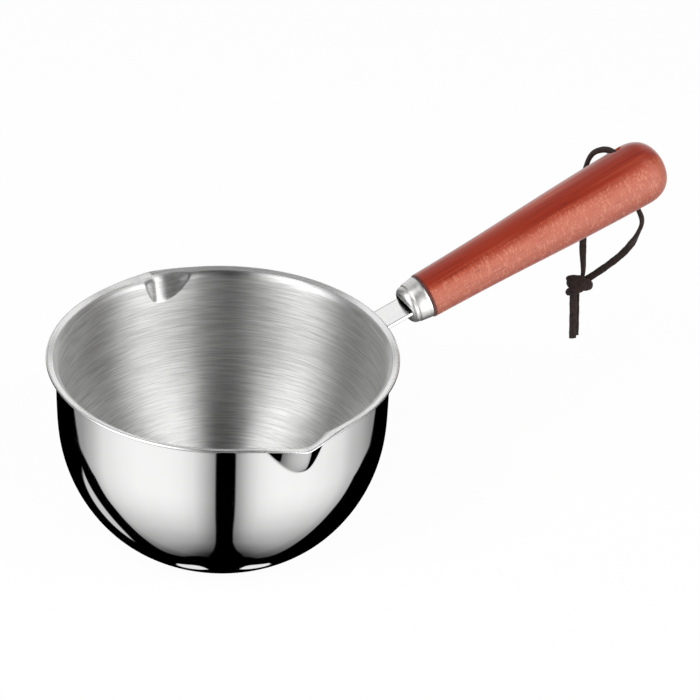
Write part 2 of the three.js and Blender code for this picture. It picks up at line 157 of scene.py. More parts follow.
@dataclass(frozen=True)
class HandleFrame:
    """The handle's own axes: along the grip from its shoulder, across it, and square up from it."""

    origin: Triple = (83.0177, 0.0, 78.6557)
    slope: float = math.radians(19.7)

    def place(self, local: np.ndarray) -> np.ndarray:
        """Turn points by the handle's slope about +Y and move them to its origin.

        Args:
            local: Points as (along, across, up) in millimetres.

        Returns:
            The same points in the pan's frame.
        """
        run, rise = math.cos(self.slope), math.sin(self.slope)
        along, across, up = local[..., 0], local[..., 1], local[..., 2]
        return np.stack(
            [
                self.origin[0] + along * run - up * rise,
                self.origin[1] + across,
                self.origin[2] + along * rise + up * run,
            ],
            axis=-1,
        )


HANDLE = HandleFrame()


@dataclass
class Skin:
    """A closed surface made of rings of points joined in order.

    Attributes:
        rings: Points in millimetres, shaped (ring, place round the ring, 3).
        start: A point that closes the first ring, if any.
        end: A point that closes the last ring, if any.
        looped: Whether the last ring joins on to the first.
        zones: The material of each strip between two rings.
        along: A length along the piece for each ring, kept as an attribute.
    """

    rings: np.ndarray
    start: np.ndarray | None = None
    end: np.ndarray | None = None
    looped: bool = False
    zones: np.ndarray | None = None
    along: np.ndarray | None = None

    def faces(self) -> tuple[np.ndarray, np.ndarray]:
        """Number the quads between the rings and the fans at the ends.

        Returns:
            The quads and the triangles, as vertex numbers.
        """
        rows, columns = self.rings.shape[:2]
        here = np.arange(rows * columns).reshape(rows, columns)
        beside = np.roll(here, -1, axis=1)
        low = here if self.looped else here[:-1]
        low_beside = beside if self.looped else beside[:-1]
        high = np.roll(here, -1, axis=0) if self.looped else here[1:]
        high_beside = np.roll(beside, -1, axis=0) if self.looped else beside[1:]
        quads = np.stack([low, low_beside, high_beside, high], axis=-1).reshape(-1, 4)
        fans = []
        pole = rows * columns
        if self.start is not None:
            fans.append(np.stack([np.full(columns, pole), beside[0], here[0]], axis=-1))
            pole += 1
        if self.end is not None:
            fans.append(np.stack([here[-1], beside[-1], np.full(columns, pole)], axis=-1))
        triangles = np.concatenate(fans) if fans else np.zeros((0, 3), int)
        return quads, triangles

    def piece(self, name: str, crease: float = math.radians(40)) -> bpy.types.Object:
        """Make the mesh object, with smooth shading that breaks at creases.

        Args:
            name: The object's name.
            crease: Edges that turn by more than this are shaded sharp.

        Returns:
            The object, at the origin, with its place in its mesh.
        """
        poles = [np.reshape(pole, (1, 3)) for pole in (self.start, self.end) if pole is not None]
        points = np.concatenate([self.rings.reshape(-1, 3), *poles])
        quads, triangles = self.faces()
        mesh = bpy.data.meshes.new(name)
        mesh.from_pydata((points * METRES).tolist(), [], quads.tolist() + triangles.tolist())
        rows, columns = self.rings.shape[:2]
        closed = [row for row, pole in ((0, self.start), (-1, self.end)) if pole is not None]
        if self.zones is not None:
            every = np.repeat(np.concatenate([self.zones, self.zones[closed]]), columns)
            mesh.polygons.foreach_set("material_index", every.astype(np.int32))
        if self.along is not None:
            lengths = np.concatenate([np.repeat(self.along, columns), self.along[closed]])
            turns = np.concatenate([np.tile(np.arange(columns) / columns, rows), np.zeros(len(closed))])
            for title, values in (("along", lengths), ("around", turns)):
                kept = mesh.attributes.new(title, "FLOAT", "POINT")
                kept.data.foreach_set("value", values.astype(np.float32))
        return finished(name, mesh, crease)


def finished(name: str, mesh: bpy.types.Mesh, crease: float) -> bpy.types.Object:
    """Point a closed mesh's faces outwards, shade it smooth with creases, and put it in the scene.

    Args:
        name: The object's name.
        mesh: The mesh, in metres.
        crease: Edges that turn by more than this are shaded sharp.

    Returns:
        The new object.
    """
    work = bmesh.new()
    work.from_mesh(mesh)
    bmesh.ops.recalc_face_normals(work, faces=work.faces)
    work.to_mesh(mesh)
    work.free()
    mesh.polygons.foreach_set("use_smooth", np.ones(len(mesh.polygons), bool))
    mesh.set_sharp_from_angle(angle=crease)
    mesh.update()
    made = bpy.data.objects.new(name, mesh)
    bpy.context.scene.collection.objects.link(made)
    return made


def settle(piece: bpy.types.Object, body: Body, nodes: Sequence[str]) -> bpy.types.Object:
    """Let a piece ride on a body, and let it stand for CAD nodes.

    Args:
        piece: The finished piece.
        body: The body that carries it.
        nodes: The CAD nodes that it replaces.

    Returns:
        The same piece.
    """
    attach(piece, body.value)
    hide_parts(*nodes)
    return piece


class NodeBoard:
    """A short way to lay out shader nodes in one tree."""

    def __init__(self, tree: bpy.types.NodeTree) -> None:
        """Keep the tree, with its nodes cleared away."""
        self.tree = tree
        tree.nodes.clear()

    def add(self, kind: str, **settings: object) -> bpy.types.Node:
        """Add a node.

        Args:
            kind: The node's type.
            settings: Its plain properties.

        Returns:
            The new node.
        """
        node = self.tree.nodes.new(kind)
        for key, value in settings.items():
            setattr(node, key, value)
        return node

    def feed(self, socket: Socket, value: object) -> None:
        """Link an output into a socket, or set a constant on it.

        Args:
            socket: The socket to fill.
            value: An output, a number or a colour.
        """
        if isinstance(value, Socket):
            self.tree.links.new(value, socket)
        else:
            socket.default_value = value

    def math(self, operation: str, a: object, b: object = 0.0, clamp: bool = False) -> Socket:
        """One Math node of two values.

        Args:
            operation: What the node does.
            a: Its first value.
            b: Its second value.
            clamp: Whether the result is kept between 0 and 1.

        Returns:
            The result.
        """
        node = self.add("ShaderNodeMath", operation=operation, use_clamp=clamp)
        self.feed(node.inputs[0], a)
        self.feed(node.inputs[1], b)
        return node.outputs[0]

    def plus(self, a: object, b: object) -> Socket:
        """The sum of two values."""
        return self.math("ADD", a, b)

    def minus(self, a: object, b: object) -> Socket:
        """The first value less the second."""
        return self.math("SUBTRACT", a, b)

    def over(self, a: object, b: object) -> Socket:
        """The first value divided by the second."""
        return self.math("DIVIDE", a, b)

    def times(self, first: object, *others: object) -> Socket:
        """The product of all the values, multiplied in order.

        Args:
            first: The first value.
            others: The values that it is multiplied by.

        Returns:
            The product.
        """
        result = first
        for value in others:
            result = self.math("MULTIPLY", result, value)
        return result

    def share(self, value: object) -> Socket:
        """A value from -1 to 1 brought to the range from 0 to 1, and cut off there."""
        return self.math("ADD", self.times(value, 0.5), 0.5, clamp=True)

    def step(self, value: object, low: float, high: float) -> Socket:
        """A smooth rise from 0 at low to 1 at high, or a fall where low is above high.

        Args:
            value: The value to look at.
            low: Where the result is 0.
            high: Where the result is 1.

        Returns:
            The result, from 0 to 1.
        """
        node = self.add("ShaderNodeMapRange", interpolation_type="SMOOTHSTEP")
        rising = low < high
        limits = (low, high, 0.0, 1.0) if rising else (high, low, 1.0, 0.0)
        self.feed(node.inputs[0], value)
        for socket, limit in zip(node.inputs[1:5], limits):
            socket.default_value = limit
        return node.outputs[0]

    def window(self, value: object, low: float, high: float, soft: float) -> Socket:
        """1 between low and high, fading to 0 over a soft edge on each side.

        Args:
            value: The value to look at.
            low: The middle of the rising edge.
            high: The middle of the falling edge.
            soft: Half the width of each edge.

        Returns:
            The result, from 0 to 1.
        """
        rise = self.step(value, low - soft, low + soft)
        fall = self.step(value, high + soft, high - soft)
        return self.times(rise, fall)

    def ramp(self, value: object, stops: Sequence[tuple[float, object]], curve: str = "LINEAR") -> Socket:
        """A colour ramp.

        Args:
            value: The value to look up, from 0 to 1.
            stops: Each stop's place, and its grey number or (r, g, b).
            curve: How the ramp runs between its stops.

        Returns:
            The colour.
        """
        node = self.add("ShaderNodeValToRGB")
        node.color_ramp.interpolation = curve
        bar = node.color_ramp.elements
        while len(bar) < len(stops):
            bar.new(1.0)
        for element, (place, shade) in zip(bar, stops):
            element.position = place
            rgb = (shade, shade, shade) if isinstance(shade, (int, float)) else shade
            element.color = (*rgb, 1.0)
        self.feed(node.inputs[0], value)
        return node.outputs[0]

    def graph(self, share: object, table: Table, low: float, high: float, curve: str = "LINEAR") -> Socket:
        """A grey ramp whose stops lie on a scale of their own, from low to high.

        Args:
            share: The value to look up, already brought to the range from 0 to 1.
            table: Each stop's place on the scale, and its grey number.
            low: The place on the scale that 0 stands for.
            high: The place on the scale that 1 stands for.
            curve: How the ramp runs between its stops.

        Returns:
            The grey.
        """
        return self.ramp(share, [((place - low) / (high - low), grey) for place, grey in table], curve)

    def split(self, vector: object) -> tuple[Socket, ...]:
        """The three parts of a vector."""
        node = self.add("ShaderNodeSeparateXYZ")
        self.feed(node.inputs[0], vector)
        return tuple(node.outputs)

    def join(self, x: object, y: object, z: object) -> Socket:
        """A vector from three values."""
        node = self.add("ShaderNodeCombineXYZ")
        for socket, value in zip(node.inputs, (x, y, z)):
            self.feed(socket, value)
        return node.outputs[0]

    def noise(self, vector: object, scale: float, detail: float, rough: float, warp: float = 0.0) -> Socket:
        """Fractal noise, about 0.5 on average.

        Args:
            vector: The place to look at.
            scale: How many features a unit of that place gets.
            detail: How many finer layers are added.
            rough: How strong each finer layer is.
            warp: How far the noise is folded.

        Returns:
            The noise, from 0 to 1.
        """
        node = self.add("ShaderNodeTexNoise", noise_dimensions="3D")
        self.feed(node.inputs["Vector"], vector)
        settings = {"Scale": scale, "Detail": detail, "Roughness": rough, "Distortion": warp}
        for title, value in settings.items():
            node.inputs[title].default_value = value
        return node.outputs[0]

    def mix(self, share: object, a: object, b: object) -> Socket:
        """Mix two colours.

        Args:
            share: How much of the second colour there is.
            a: The first colour, as an output or (r, g, b).
            b: The second colour, likewise.

        Returns:
            The mixed colour.
        """
        node = self.add("ShaderNodeMix", data_type="RGBA", blend_type="MIX")
        self.feed(node.inputs[0], share)
        for socket, shade in ((node.inputs[6], a), (node.inputs[7], b)):
            self.feed(socket, (*shade, 1.0) if isinstance(shade, tuple) else shade)
        return node.outputs[2]

    def bump(self, height: object, depth: float) -> Socket:
        """A bump of a height from 0 to 1 times a depth in metres."""
        node = self.add("ShaderNodeBump")
        node.inputs["Strength"].default_value = 1.0
        node.inputs["Distance"].default_value = depth
        self.feed(node.inputs["Height"], height)
        return node.outputs[0]

    def place(self) -> Socket:
        """The piece's own object coordinates."""
        return self.add("ShaderNodeTexCoord").outputs["Object"]

    def handle_place(self, stretch: Triple) -> Socket:
        """Object coordinates on the handle's own axes.

        Args:
            stretch: What a metre along, across and up comes to.

        Returns:
            The place as (along, across, up).
        """
        local = self.add("ShaderNodeMapping", vector_type="TEXTURE")
        self.feed(local.inputs["Vector"], self.place())
        local.inputs["Location"].default_value = [value * METRES for value in HANDLE.origin]
        local.inputs["Rotation"].default_value = (0.0, -HANDLE.slope, 0.0)
        grown = self.add("ShaderNodeMapping", vector_type="POINT")
        self.feed(grown.inputs["Vector"], local.outputs[0])
        grown.inputs["Scale"].default_value = stretch
        return grown.outputs[0]


def surface(name: str, constants: dict[str, float]) -> tuple[bpy.types.Material, NodeBoard, bpy.types.Node]:
    """A new material with a Principled shader on its output.

    Args:
        name: The material's name.
        constants: Values that are the same all over, set on the shader's own sockets.

    Returns:
        The material, its node board and the Principled node.
    """
    material = bpy.data.materials.new(name)
    material.use_nodes = True
    board = NodeBoard(material.node_tree)
    output = board.add("ShaderNodeOutputMaterial")
    shader = board.add("ShaderNodeBsdfPrincipled")
    board.feed(output.inputs["Surface"], shader.outputs[0])
    for title, value in constants.items():
        shader.inputs[title].default_value = value
    return material, board, shader


@dataclass(frozen=True)
class MirrorSteel:
    """Buffed sheet steel: a clear mirror with faint polishing haze and hairline wipe marks."""

    name: str = "mirror_steel"
    colour: Triple = (0.93, 0.93, 0.925)
    hazy_share: float = 0.97
    roughness: float = 0.035
    haze: float = 0.03
    streak: float = 0.02
    streak_squeeze: float = 30.0

    def make(self) -> bpy.types.Material:
        """Roughness is a base value plus soft haze patches and fine streaks round the bowl."""
        material, board, shader = surface(self.name, {"Metallic": 1.0})
        place = board.place()
        x, y, z = board.split(place)
        haze = board.noise(place, scale=45.0, detail=3.0, rough=0.55)
        flat_place = board.join(x, y, board.times(z, self.streak_squeeze))
        streaks = board.noise(flat_place, scale=60.0, detail=4.0, rough=0.6)
        soft = board.times(haze, self.haze)
        fine = board.times(board.step(streaks, 0.5, 0.8), self.streak)
        rough = board.plus(board.plus(soft, fine), self.roughness - self.haze / 2.0)
        board.feed(shader.inputs["Roughness"], rough)
        hazy = tuple(self.hazy_share * part for part in self.colour)
        board.feed(shader.inputs["Base Color"], board.mix(board.step(haze, 0.3, 0.75), self.colour, hazy))
        return material


@dataclass(frozen=True)
class TurnedSteel:
    """Steel brushed on a lathe: fine scratches that run round the bowl's axis."""

    name: str = "turned_steel"
    light: Triple = (0.92, 0.92, 0.915)
    dark: Triple = (0.62, 0.62, 0.615)
    roughness: float = 0.38
    anisotropy: float = 1.0
    scratch_depth: float = 0.00007
    scratches_per_metre: float = 2200.0
    fine_share: float = 0.7
    rough_swing: float = 0.06
    least_radius: float = 0.002

    def make(self) -> bpy.types.Material:
        """Scratches are noise that is long round the axis and short across it.

        The place round the axis is the unit vector (x, y) / radius, and the place across the
        scratches is height plus radius, which grows steadily from the middle up to the rim.

        Returns:
            The material.
        """
        material, board, shader = surface(
            self.name,
            {"Metallic": 1.0, "Anisotropic": self.anisotropy, "Anisotropic Rotation": 0.25},
        )
        x, y, z = board.split(board.place())
        radius = board.math("SQRT", board.plus(board.math("POWER", x, 2.0), board.math("POWER", y, 2.0)))
        safe = board.math("MAXIMUM", radius, self.least_radius)
        round_x = board.over(x, safe)
        round_y = board.over(y, safe)
        across = board.plus(z, radius)

        def scratches(spread: float, lines: float, detail: float, rough: float) -> Socket:
            """Noise that changes with the place round the axis times spread, and by lines per metre."""
            place = board.join(
                board.times(round_x, spread), board.times(round_y, spread), board.times(across, lines)
            )
            return board.noise(place, 1.0, detail, rough)

        fine = scratches(4.0, self.scratches_per_metre, detail=4.0, rough=0.65)
        broad = scratches(3.2, self.scratches_per_metre / 2.0, detail=3.0, rough=0.6)
        streak = board.plus(board.times(fine, self.fine_share), board.times(broad, 1.0 - self.fine_share))
        shade = board.mix(board.step(streak, 0.36, 0.64), self.dark, self.light)
        board.feed(shader.inputs["Base Color"], shade)
        rough = board.plus(board.times(broad, self.rough_swing), self.roughness - self.rough_swing / 2.0)
        board.feed(shader.inputs["Roughness"], rough)
        tangent = board.add("ShaderNodeTangent", direction_type="RADIAL", axis="Z")
        board.feed(shader.inputs["Tangent"], tangent.outputs[0])
        board.feed(shader.inputs["Normal"], board.bump(fine, self.scratch_depth))
        return material


@dataclass(frozen=True)
class SatinSteel:
    """Steel with a soft grain that runs along or across the handle."""

    name: str
    colour: Triple
    roughness: float
    stretch: Triple
    contrast: float
    depth: float = 0.000004
    worn_swing: float = 0.12
    line_swing: float = 0.10

    def make(self) -> bpy.types.Material:
        """The grain is noise stretched by the given lines per metre along, across and up."""
        material, board, shader = surface(self.name, {"Metallic": 1.0})
        grain = board.noise(board.handle_place(self.stretch), scale=1.0, detail=4.0, rough=0.6)
        patches = board.noise(board.place(), scale=160.0, detail=3.0, rough=0.55)
        dimmed = tuple(part * (1.0 - self.contrast) for part in self.colour)
        shade = board.mix(board.step(grain, 0.35, 0.65), dimmed, self.colour)
        board.feed(shader.inputs["Base Color"], shade)
        worn = board.times(patches, self.worn_swing)
        lines = board.times(grain, self.line_swing)
        base = self.roughness - (self.worn_swing + self.line_swing) / 2.0
        board.feed(shader.inputs["Roughness"], board.plus(board.plus(worn, lines), base))
        board.feed(shader.inputs["Normal"], board.bump(grain, self.depth))
        return material


@dataclass(frozen=True)
class Rosewood:
    """Oiled reddish hardwood under thin lacquer: slanting growth layers, streaks, pores and ripples.

    The layers also carry painted shade and light, the ripples painted glints, and the edge next to
    the ferrule a painted shadow line.
    """

    name: str = "rosewood"
    deep: Triple = (0.195, 0.015, 0.007)
    dark: Triple = (0.280, 0.026, 0.010)
    middle: Triple = (0.400, 0.064, 0.029)
    pale: Triple = (0.485, 0.130, 0.080)
    glint: Triple = (0.660, 0.270, 0.165)
    pore_and_gap_shade: Triple = (0.090, 0.014, 0.010)
    roughness: float = 0.40
    rough_swing: float = 0.16
    pore_depth: float = 0.00003
    layer_way: tuple[float, float] = (0.60, 0.80)
    layer_warp: float = 0.8
    nose_radius: float = 8.95
    taper: float = 0.0372

    def figure(
        self, board: NodeBoard, along: float, across: float, detail: float, rough: float, warp: float = 0.0
    ) -> Socket:
        """Noise with so many features per metre along the grip, and across it.

        Args:
            board: The material's node board.
            along: Features per metre along the grip.
            across: Features per metre across it.
            detail: How many finer layers are added.
            rough: How strong each finer layer is.
            warp: How far the noise is folded.

        Returns:
            The noise, from 0 to 1.
        """
        return board.noise(board.handle_place((along, across, across)), 1.0, detail, rough, warp)

    def make(self) -> bpy.types.Material:
        """Flat growth layers cut the grip at a slant and are warped by noise drawn out along it.

        A layer's place is the lift of a point along layer_way over the grip's own radius there,
        so the layers follow the taper. The slant puts the dark layers along the grip's upper side, the
        pale ones below it and a middle tone at both edges; this is partly the wood's figure and partly
        painted shade and light. Pale ripple lines, partly ripple figure and partly painted glints, show
        in the pale layers only, dark streaks in the dark ones, and a painted shadow line runs round the
        edge next to the ferrule, where the gap to it lies in shade.

        Returns:
            The material.
        """
        material, board, shader = surface(
            self.name,
            {
                "Specular IOR Level": 0.14,
                "Coat Weight": 0.36,
                "Coat Roughness": 0.2,
                "Sheen Weight": 0.55,
                "Sheen Roughness": 0.35,
            },
        )
        per_metre = 1.0 / METRES
        along, across, up = board.split(board.handle_place((per_metre, per_metre, per_metre)))
        radius = board.plus(board.times(along, self.taper), self.nose_radius)
        slant = board.plus(board.times(across, self.layer_way[0]), board.times(up, self.layer_way[1]))
        warp = board.minus(self.figure(board, 6.0, 90.0, detail=3.0, rough=0.55, warp=0.3), 0.5)
        layer_and_painted_light = board.share(board.plus(board.over(slant, radius), board.times(warp, self.layer_warp)))
        # Dark layers along the upper side, pale below, middle tone at both edges: partly wood figure,
        # partly painted shade and light.
        colour = board.ramp(
            layer_and_painted_light,
            [
                (0.04, self.middle), (0.16, self.pale), (0.45, self.pale), (0.56, self.middle),
                (0.65, self.dark), (0.92, self.dark), (1.0, self.middle),
            ],
        )
        streaks = self.figure(board, 9.0, 420.0, detail=3.0, rough=0.6)
        in_dark = board.window(layer_and_painted_light, 0.56, 0.97, 0.08)
        deeper = board.times(board.step(streaks, 0.48, 0.66), board.times(in_dark, 0.75))
        colour = board.mix(deeper, colour, self.deep)
        paleness = board.minus(0.45, board.times(in_dark, 0.25))
        colour = board.mix(board.times(board.step(streaks, 0.46, 0.32), paleness), colour, self.pale)
        # Painted glints: pale golden ripple lines in the pale layers, partly ripple figure and partly
        # painted highlight.
        ripples = self.figure(board, 950.0, 330.0, detail=2.0, rough=0.5, warp=1.6)
        in_pale = board.step(layer_and_painted_light, 0.66, 0.48)
        glints = board.times(board.step(ripples, 0.53, 0.64), board.times(in_pale, 0.5))
        colour = board.mix(glints, colour, self.glint)
        fibres = self.figure(board, 70.0, 2200.0, detail=3.0, rough=0.6)
        pores = board.step(self.figure(board, 210.0, 2900.0, detail=1.0, rough=0.4), 0.67, 0.75)
        colour = board.mix(board.times(board.step(fibres, 0.5, 0.7), 0.25), colour, self.dark)
        # Painted shadow: the first millimetre of the grip goes dark, where the gap to the ferrule lies in
        # shade.
        edge = board.times(board.step(along, 1.1, 0.6), 0.85)
        colour = board.mix(edge, colour, self.pore_and_gap_shade)
        colour = board.mix(board.times(pores, 0.5), colour, self.pore_and_gap_shade)
        board.feed(shader.inputs["Base Color"], colour)
        rough = board.plus(board.times(fibres, self.rough_swing), self.roughness - self.rough_swing / 2.0)
        board.feed(shader.inputs["Roughness"], rough)
        relief = board.minus(board.times(fibres, 0.4), pores)
        board.feed(shader.inputs["Normal"], board.bump(relief, self.pore_depth))
        return material


@dataclass(frozen=True)
class Leather:
    """Dark brown suede-backed leather: short nap and small creases across the lace, with painted shade in
    their hollows.
    """

    name: str = "lace_leather"
    dark: Triple = (0.016, 0.010, 0.009)
    light: Triple = (0.050, 0.031, 0.028)
    nap_radius: float = 1.1
    nap_depth: float = 0.00025

    def make(self) -> bpy.types.Material:
        """The nap is fine noise on the lace's own length and turn, so it stays put when the lace swings."""
        material, board, shader = surface(
            self.name,
            {"Roughness": 0.82, "Specular IOR Level": 0.2, "Sheen Weight": 0.07, "Sheen Roughness": 0.5},
        )
        along, around = (
            board.add("ShaderNodeAttribute", attribute_name=title).outputs["Fac"]
            for title in ("along", "around")
        )
        turn = board.times(around, 2.0 * math.pi)
        place = board.join(
            board.times(board.math("COSINE", turn), self.nap_radius),
            board.times(board.math("SINE", turn), self.nap_radius),
            along,
        )
        nap = board.noise(place, scale=2.6, detail=5.0, rough=0.7)
        creases_and_shade = board.noise(place, scale=0.7, detail=3.0, rough=0.6, warp=0.6)
        shade = board.mix(board.step(nap, 0.38, 0.68), self.dark, self.light)
        # Painted shade: the colour darkens where the crease noise is low, in the hollows of the bump.
        board.feed(shader.inputs["Base Color"], board.mix(board.step(creases_and_shade, 0.55, 0.3), shade, self.dark))
        height = board.plus(board.times(nap, 0.5), board.times(creases_and_shade, 0.5))
        board.feed(shader.inputs["Normal"], board.bump(height, self.nap_depth))
        return material


@dataclass(frozen=True)
class Pouch:
    """One spout's pouch.

    Attributes:
        depth: How far its foot lies below the rim.
        near_side: How wide its longer flank is.
        far_side: How wide its shorter flank is.
        fill: The power of the climb from its foot that it stands out by.
        aside: How far its crest lies to one side.
    """

    depth: float
    near_side: float
    far_side: float
    fill: float
    aside: float


@dataclass(frozen=True)
class Bowl:
    """The pressed bowl: straight wall, two closing arcs, flat base, turned-out rim and two spouts."""

    body_radius: float = 60.7
    wall: float = 1.0
    straight_depth: float = 25.5
    belly_radius: float = 60.6
    belly_sweep: float = math.radians(37.5)
    lower_radius: float = 43.0
    lower_sweep: float = math.radians(22.5)
    corner_radius: float = 10.0
    corner_ease: float = 1.0
    belly_ease: float = 7.0
    rim_bend: float = 2.0
    flange_width: float = 3.3
    flange_rise: float = math.radians(23)
    front_pouch: Pouch = Pouch(depth=14.9, near_side=15.8, far_side=10.0, fill=0.75, aside=2.0)
    back_pouch: Pouch = Pouch(depth=11.2, near_side=13.2, far_side=6.6, fill=0.55, aside=-0.7)
    spout_reach: float = 3.9
    spout_nose: float = 0.35
    spout_skew: float = 0.3
    spout_crease: float = 0.03
    lip_half_width: float = 25.0
    lip_nose: float = 0.06
    lip_hollow: float = 2.1
    lip_reach: float = 4.1
    lip_drop: float = 1.7
    lip_drop_fade: float = 4.0
    columns: int = 372
    crowding: float = 3.0
    crowd_width: float = math.radians(16)

    @property
    def height(self) -> float:
        """The rim's height over the base: the straight wall plus the rise of the three arcs."""
        corner_start = self.belly_sweep + self.lower_sweep
        lower_rise = math.sin(corner_start) - math.sin(self.belly_sweep)
        return (
            self.straight_depth
            + self.belly_radius * math.sin(self.belly_sweep)
            + self.lower_radius * lower_rise
            + self.corner_radius * (1.0 - math.sin(corner_start))
        )

    @property
    def edge(self) -> tuple[float, float]:
        """The middle of the rim's rounded edge, as (radius, height)."""
        half = self.wall / 2.0
        return self.body_radius + self.flange_width - half, self.height - half

    @property
    def bend(self) -> tuple[float, float]:
        """The middle of the rim's bend: beside the wall, and as far under the flange's lower face."""
        radius = self.body_radius + self.rim_bend
        run = (radius - self.edge[0]) * math.sin(self.flange_rise)
        drop = (run - self.wall / 2.0 - self.rim_bend) / math.cos(self.flange_rise)
        return radius, self.edge[1] + drop

    def side(self, inset: float, fine: int) -> np.ndarray:
        """One face of the wall as (radius, height) points from the base's edge up to the rim's bend.

        The wall's heading turns evenly along each arc. It is averaged over some length to either
        side, so that the bend changes gradually, and then summed up into points.

        Args:
            inset: How far this face lies inside the outside one.
            fine: How many rows the part of the wall beside the spouts gets.

        Returns:
            The profile points, in order.
        """
        arcs = (
            (self.corner_radius, math.pi / 2 - self.belly_sweep - self.lower_sweep),
            (self.lower_radius, self.lower_sweep),
            (self.belly_radius, self.belly_sweep),
        )
        ends = np.cumsum([0.0, *(radius * sweep for radius, sweep in arcs)])
        headings = np.cumsum([0.0, *(sweep for _, sweep in arcs)])
        total = ends[-1] + self.bend[1] - self.height + self.straight_depth
        run = np.linspace(0.0, total, 2401)

        def averaged(length: float) -> np.ndarray:
            """The heading, averaged over a length to either side."""
            shifts = np.linspace(-length, length, 25)
            return np.mean([np.interp(run + shift, ends, headings) for shift in shifts], axis=0)

        near, wide = averaged(self.corner_ease), averaged(self.belly_ease)
        heading = near + (wide - near) * smooth_step(ends[1] + 2.0, ends[1] + 12.0, run)
        heading[0] = 0.0
        fall = run[1] * running_sum(np.sin(heading))
        reach = run[1] * running_sum(np.cos(heading))
        z = fall * self.bend[1] / fall[-1] + inset * np.cos(heading)
        radius = self.body_radius - reach[-1] + reach - inset * np.sin(heading)
        pouch_foot = total - self.front_pouch.depth - 0.5 + self.height - self.bend[1]
        rows = np.concatenate(
            [
                np.linspace(0.0, ends[1], 8, endpoint=False),
                np.linspace(ends[1], pouch_foot, 56, endpoint=False),
                np.linspace(pouch_foot, total, fine, endpoint=False),
            ]
        )
        return np.stack([np.interp(rows, run, radius), np.interp(rows, run, z)], axis=-1)

    def profile(self) -> tuple[np.ndarray, np.ndarray]:
        """The sheet's whole section, up the outside, over the rim and down the inside.

        Returns:
            The (radius, height) points and the material of the strip that starts at each.
        """
        rise = self.flange_rise
        square = np.array([-math.sin(rise), math.cos(rise)])
        bend, edge, half = np.array(self.bend), np.array(self.edge), self.wall / 2.0
        outside = self.side(0.0, 44)
        inside = self.side(self.wall, 40)
        base_out = line((2.0, 0.0), outside[0], 5)
        base_in = line((2.0, self.wall), inside[0], 6)
        turn_out = arc(bend, self.rim_bend, math.pi, math.pi / 2 + rise, 10)
        under = line(bend + self.rim_bend * square, edge - half * square, 4)
        nose = arc(edge, half, rise - math.pi / 2, rise + math.pi / 2, 10)
        over = line(edge + half * square, bend + (self.rim_bend + self.wall) * square, 4)
        turn_in = arc(bend, self.rim_bend + self.wall, math.pi / 2 + rise, math.pi, 12)
        mirror = [base_out, outside, turn_out, under]
        satin = [nose, over]
        brushed = [turn_in, inside[::-1], base_in[::-1]]
        zones = [np.full(sum(map(len, group)), i) for i, group in enumerate((mirror, satin, brushed))]
        return np.concatenate(mirror + satin + brushed), np.concatenate(zones)

    def angles(self) -> np.ndarray:
        """Angles round the bowl, crowded four times closer at the spouts.

        The crowding is 1 plus two bells at +90 and -90 degrees; its running sum, scaled to a full
        turn, is read backwards at even steps.

        Returns:
            The angles, in order.
        """
        even = np.linspace(-math.pi, math.pi, 7201)
        bells = np.exp(-(((np.abs(even) - math.pi / 2) / self.crowd_width) ** 2))
        running = running_sum(1.0 + self.crowding * bells)
        share = np.linspace(0.0, running[-1], self.columns, endpoint=False)
        return np.interp(share, running, even)

    def pouch_section(self, place: np.ndarray, climb: np.ndarray, fill: np.ndarray) -> np.ndarray:
        """A pouch's stand-off: a power of the climb from its foot less a round-nosed V across it.

        That is a leaning trough with flat flanks. It is cut off at 0 by the soft cut
        (h + sqrt(h^2 + crease^2)) / 2, which leaves a small fillet at the crease.

        Args:
            place: How far across the flank each point is, from -1 to 1 inside the pouch.
            climb: How far up from the foot it is, from 0 to 1.
            fill: The power of the climb.

        Returns:
            The stand-off, 1 at the top of the crest.
        """
        nose = self.spout_nose
        flanks = (np.hypot(place, nose) - nose) / (math.hypot(1.0, nose) - nose)
        bare = climb**fill - flanks
        return np.where(climb > 0.0, 0.5 * (bare + np.sqrt(bare**2 + self.spout_crease**2)), 0.0)

    def lip_section(self, place: np.ndarray) -> np.ndarray:
        """The lip's hollow-sided V from above: 1 at its slightly rounded nose, 0 where it runs out."""
        rounded = np.hypot(place, self.lip_nose)
        return (np.maximum(1.0 - rounded, 0.0) / (1.0 - self.lip_nose)) ** self.lip_hollow

    def pressed(self, radius: np.ndarray, angle: np.ndarray, z: np.ndarray) -> np.ndarray:
        """Move points of the turned bowl out and down where the spouts are pressed out of it.

        A spout moves the wall out by its reach times its section, whose crest lies a little to
        one side, more so at the foot, so that one flank is longer. On the flange this blends into
        a wider, shallower lip that also drops.

        Args:
            radius: Each point's distance from the bowl's axis.
            angle: Each point's angle round the axis.
            z: Each point's height.

        Returns:
            The pressed points.
        """
        front = angle < 0.0
        depth, near_side, far_side, fill, aside = (
            np.where(front, *pair) for pair in zip(astuple(self.front_pouch), astuple(self.back_pouch))
        )
        climb = np.clip((z - self.height + depth) / depth, 0.0, 1.0)
        across = (np.abs(angle) - math.pi / 2) * self.body_radius
        off_crest = np.where(front, across, -across) + aside + self.spout_skew * (1.0 - climb)
        flank = np.where(off_crest > 0.0, near_side, far_side)
        pouch = self.spout_reach * self.pouch_section(off_crest / flank, climb, fill)
        lip = self.lip_section(across / self.lip_half_width)
        on_flange = np.clip((radius - self.body_radius) / self.flange_width, 0.0, 1.0)
        near_wall = radius > self.body_radius - 2.0 * self.wall
        out = np.where(near_wall, pouch * (1.0 - on_flange) + self.lip_reach * lip * on_flange, 0.0)
        down = np.where(near_wall, self.lip_drop * lip * climb**self.lip_drop_fade, 0.0)
        return np.stack(
            [(radius + out) * np.cos(angle), (radius + out) * np.sin(angle), z - down], axis=-1
        )

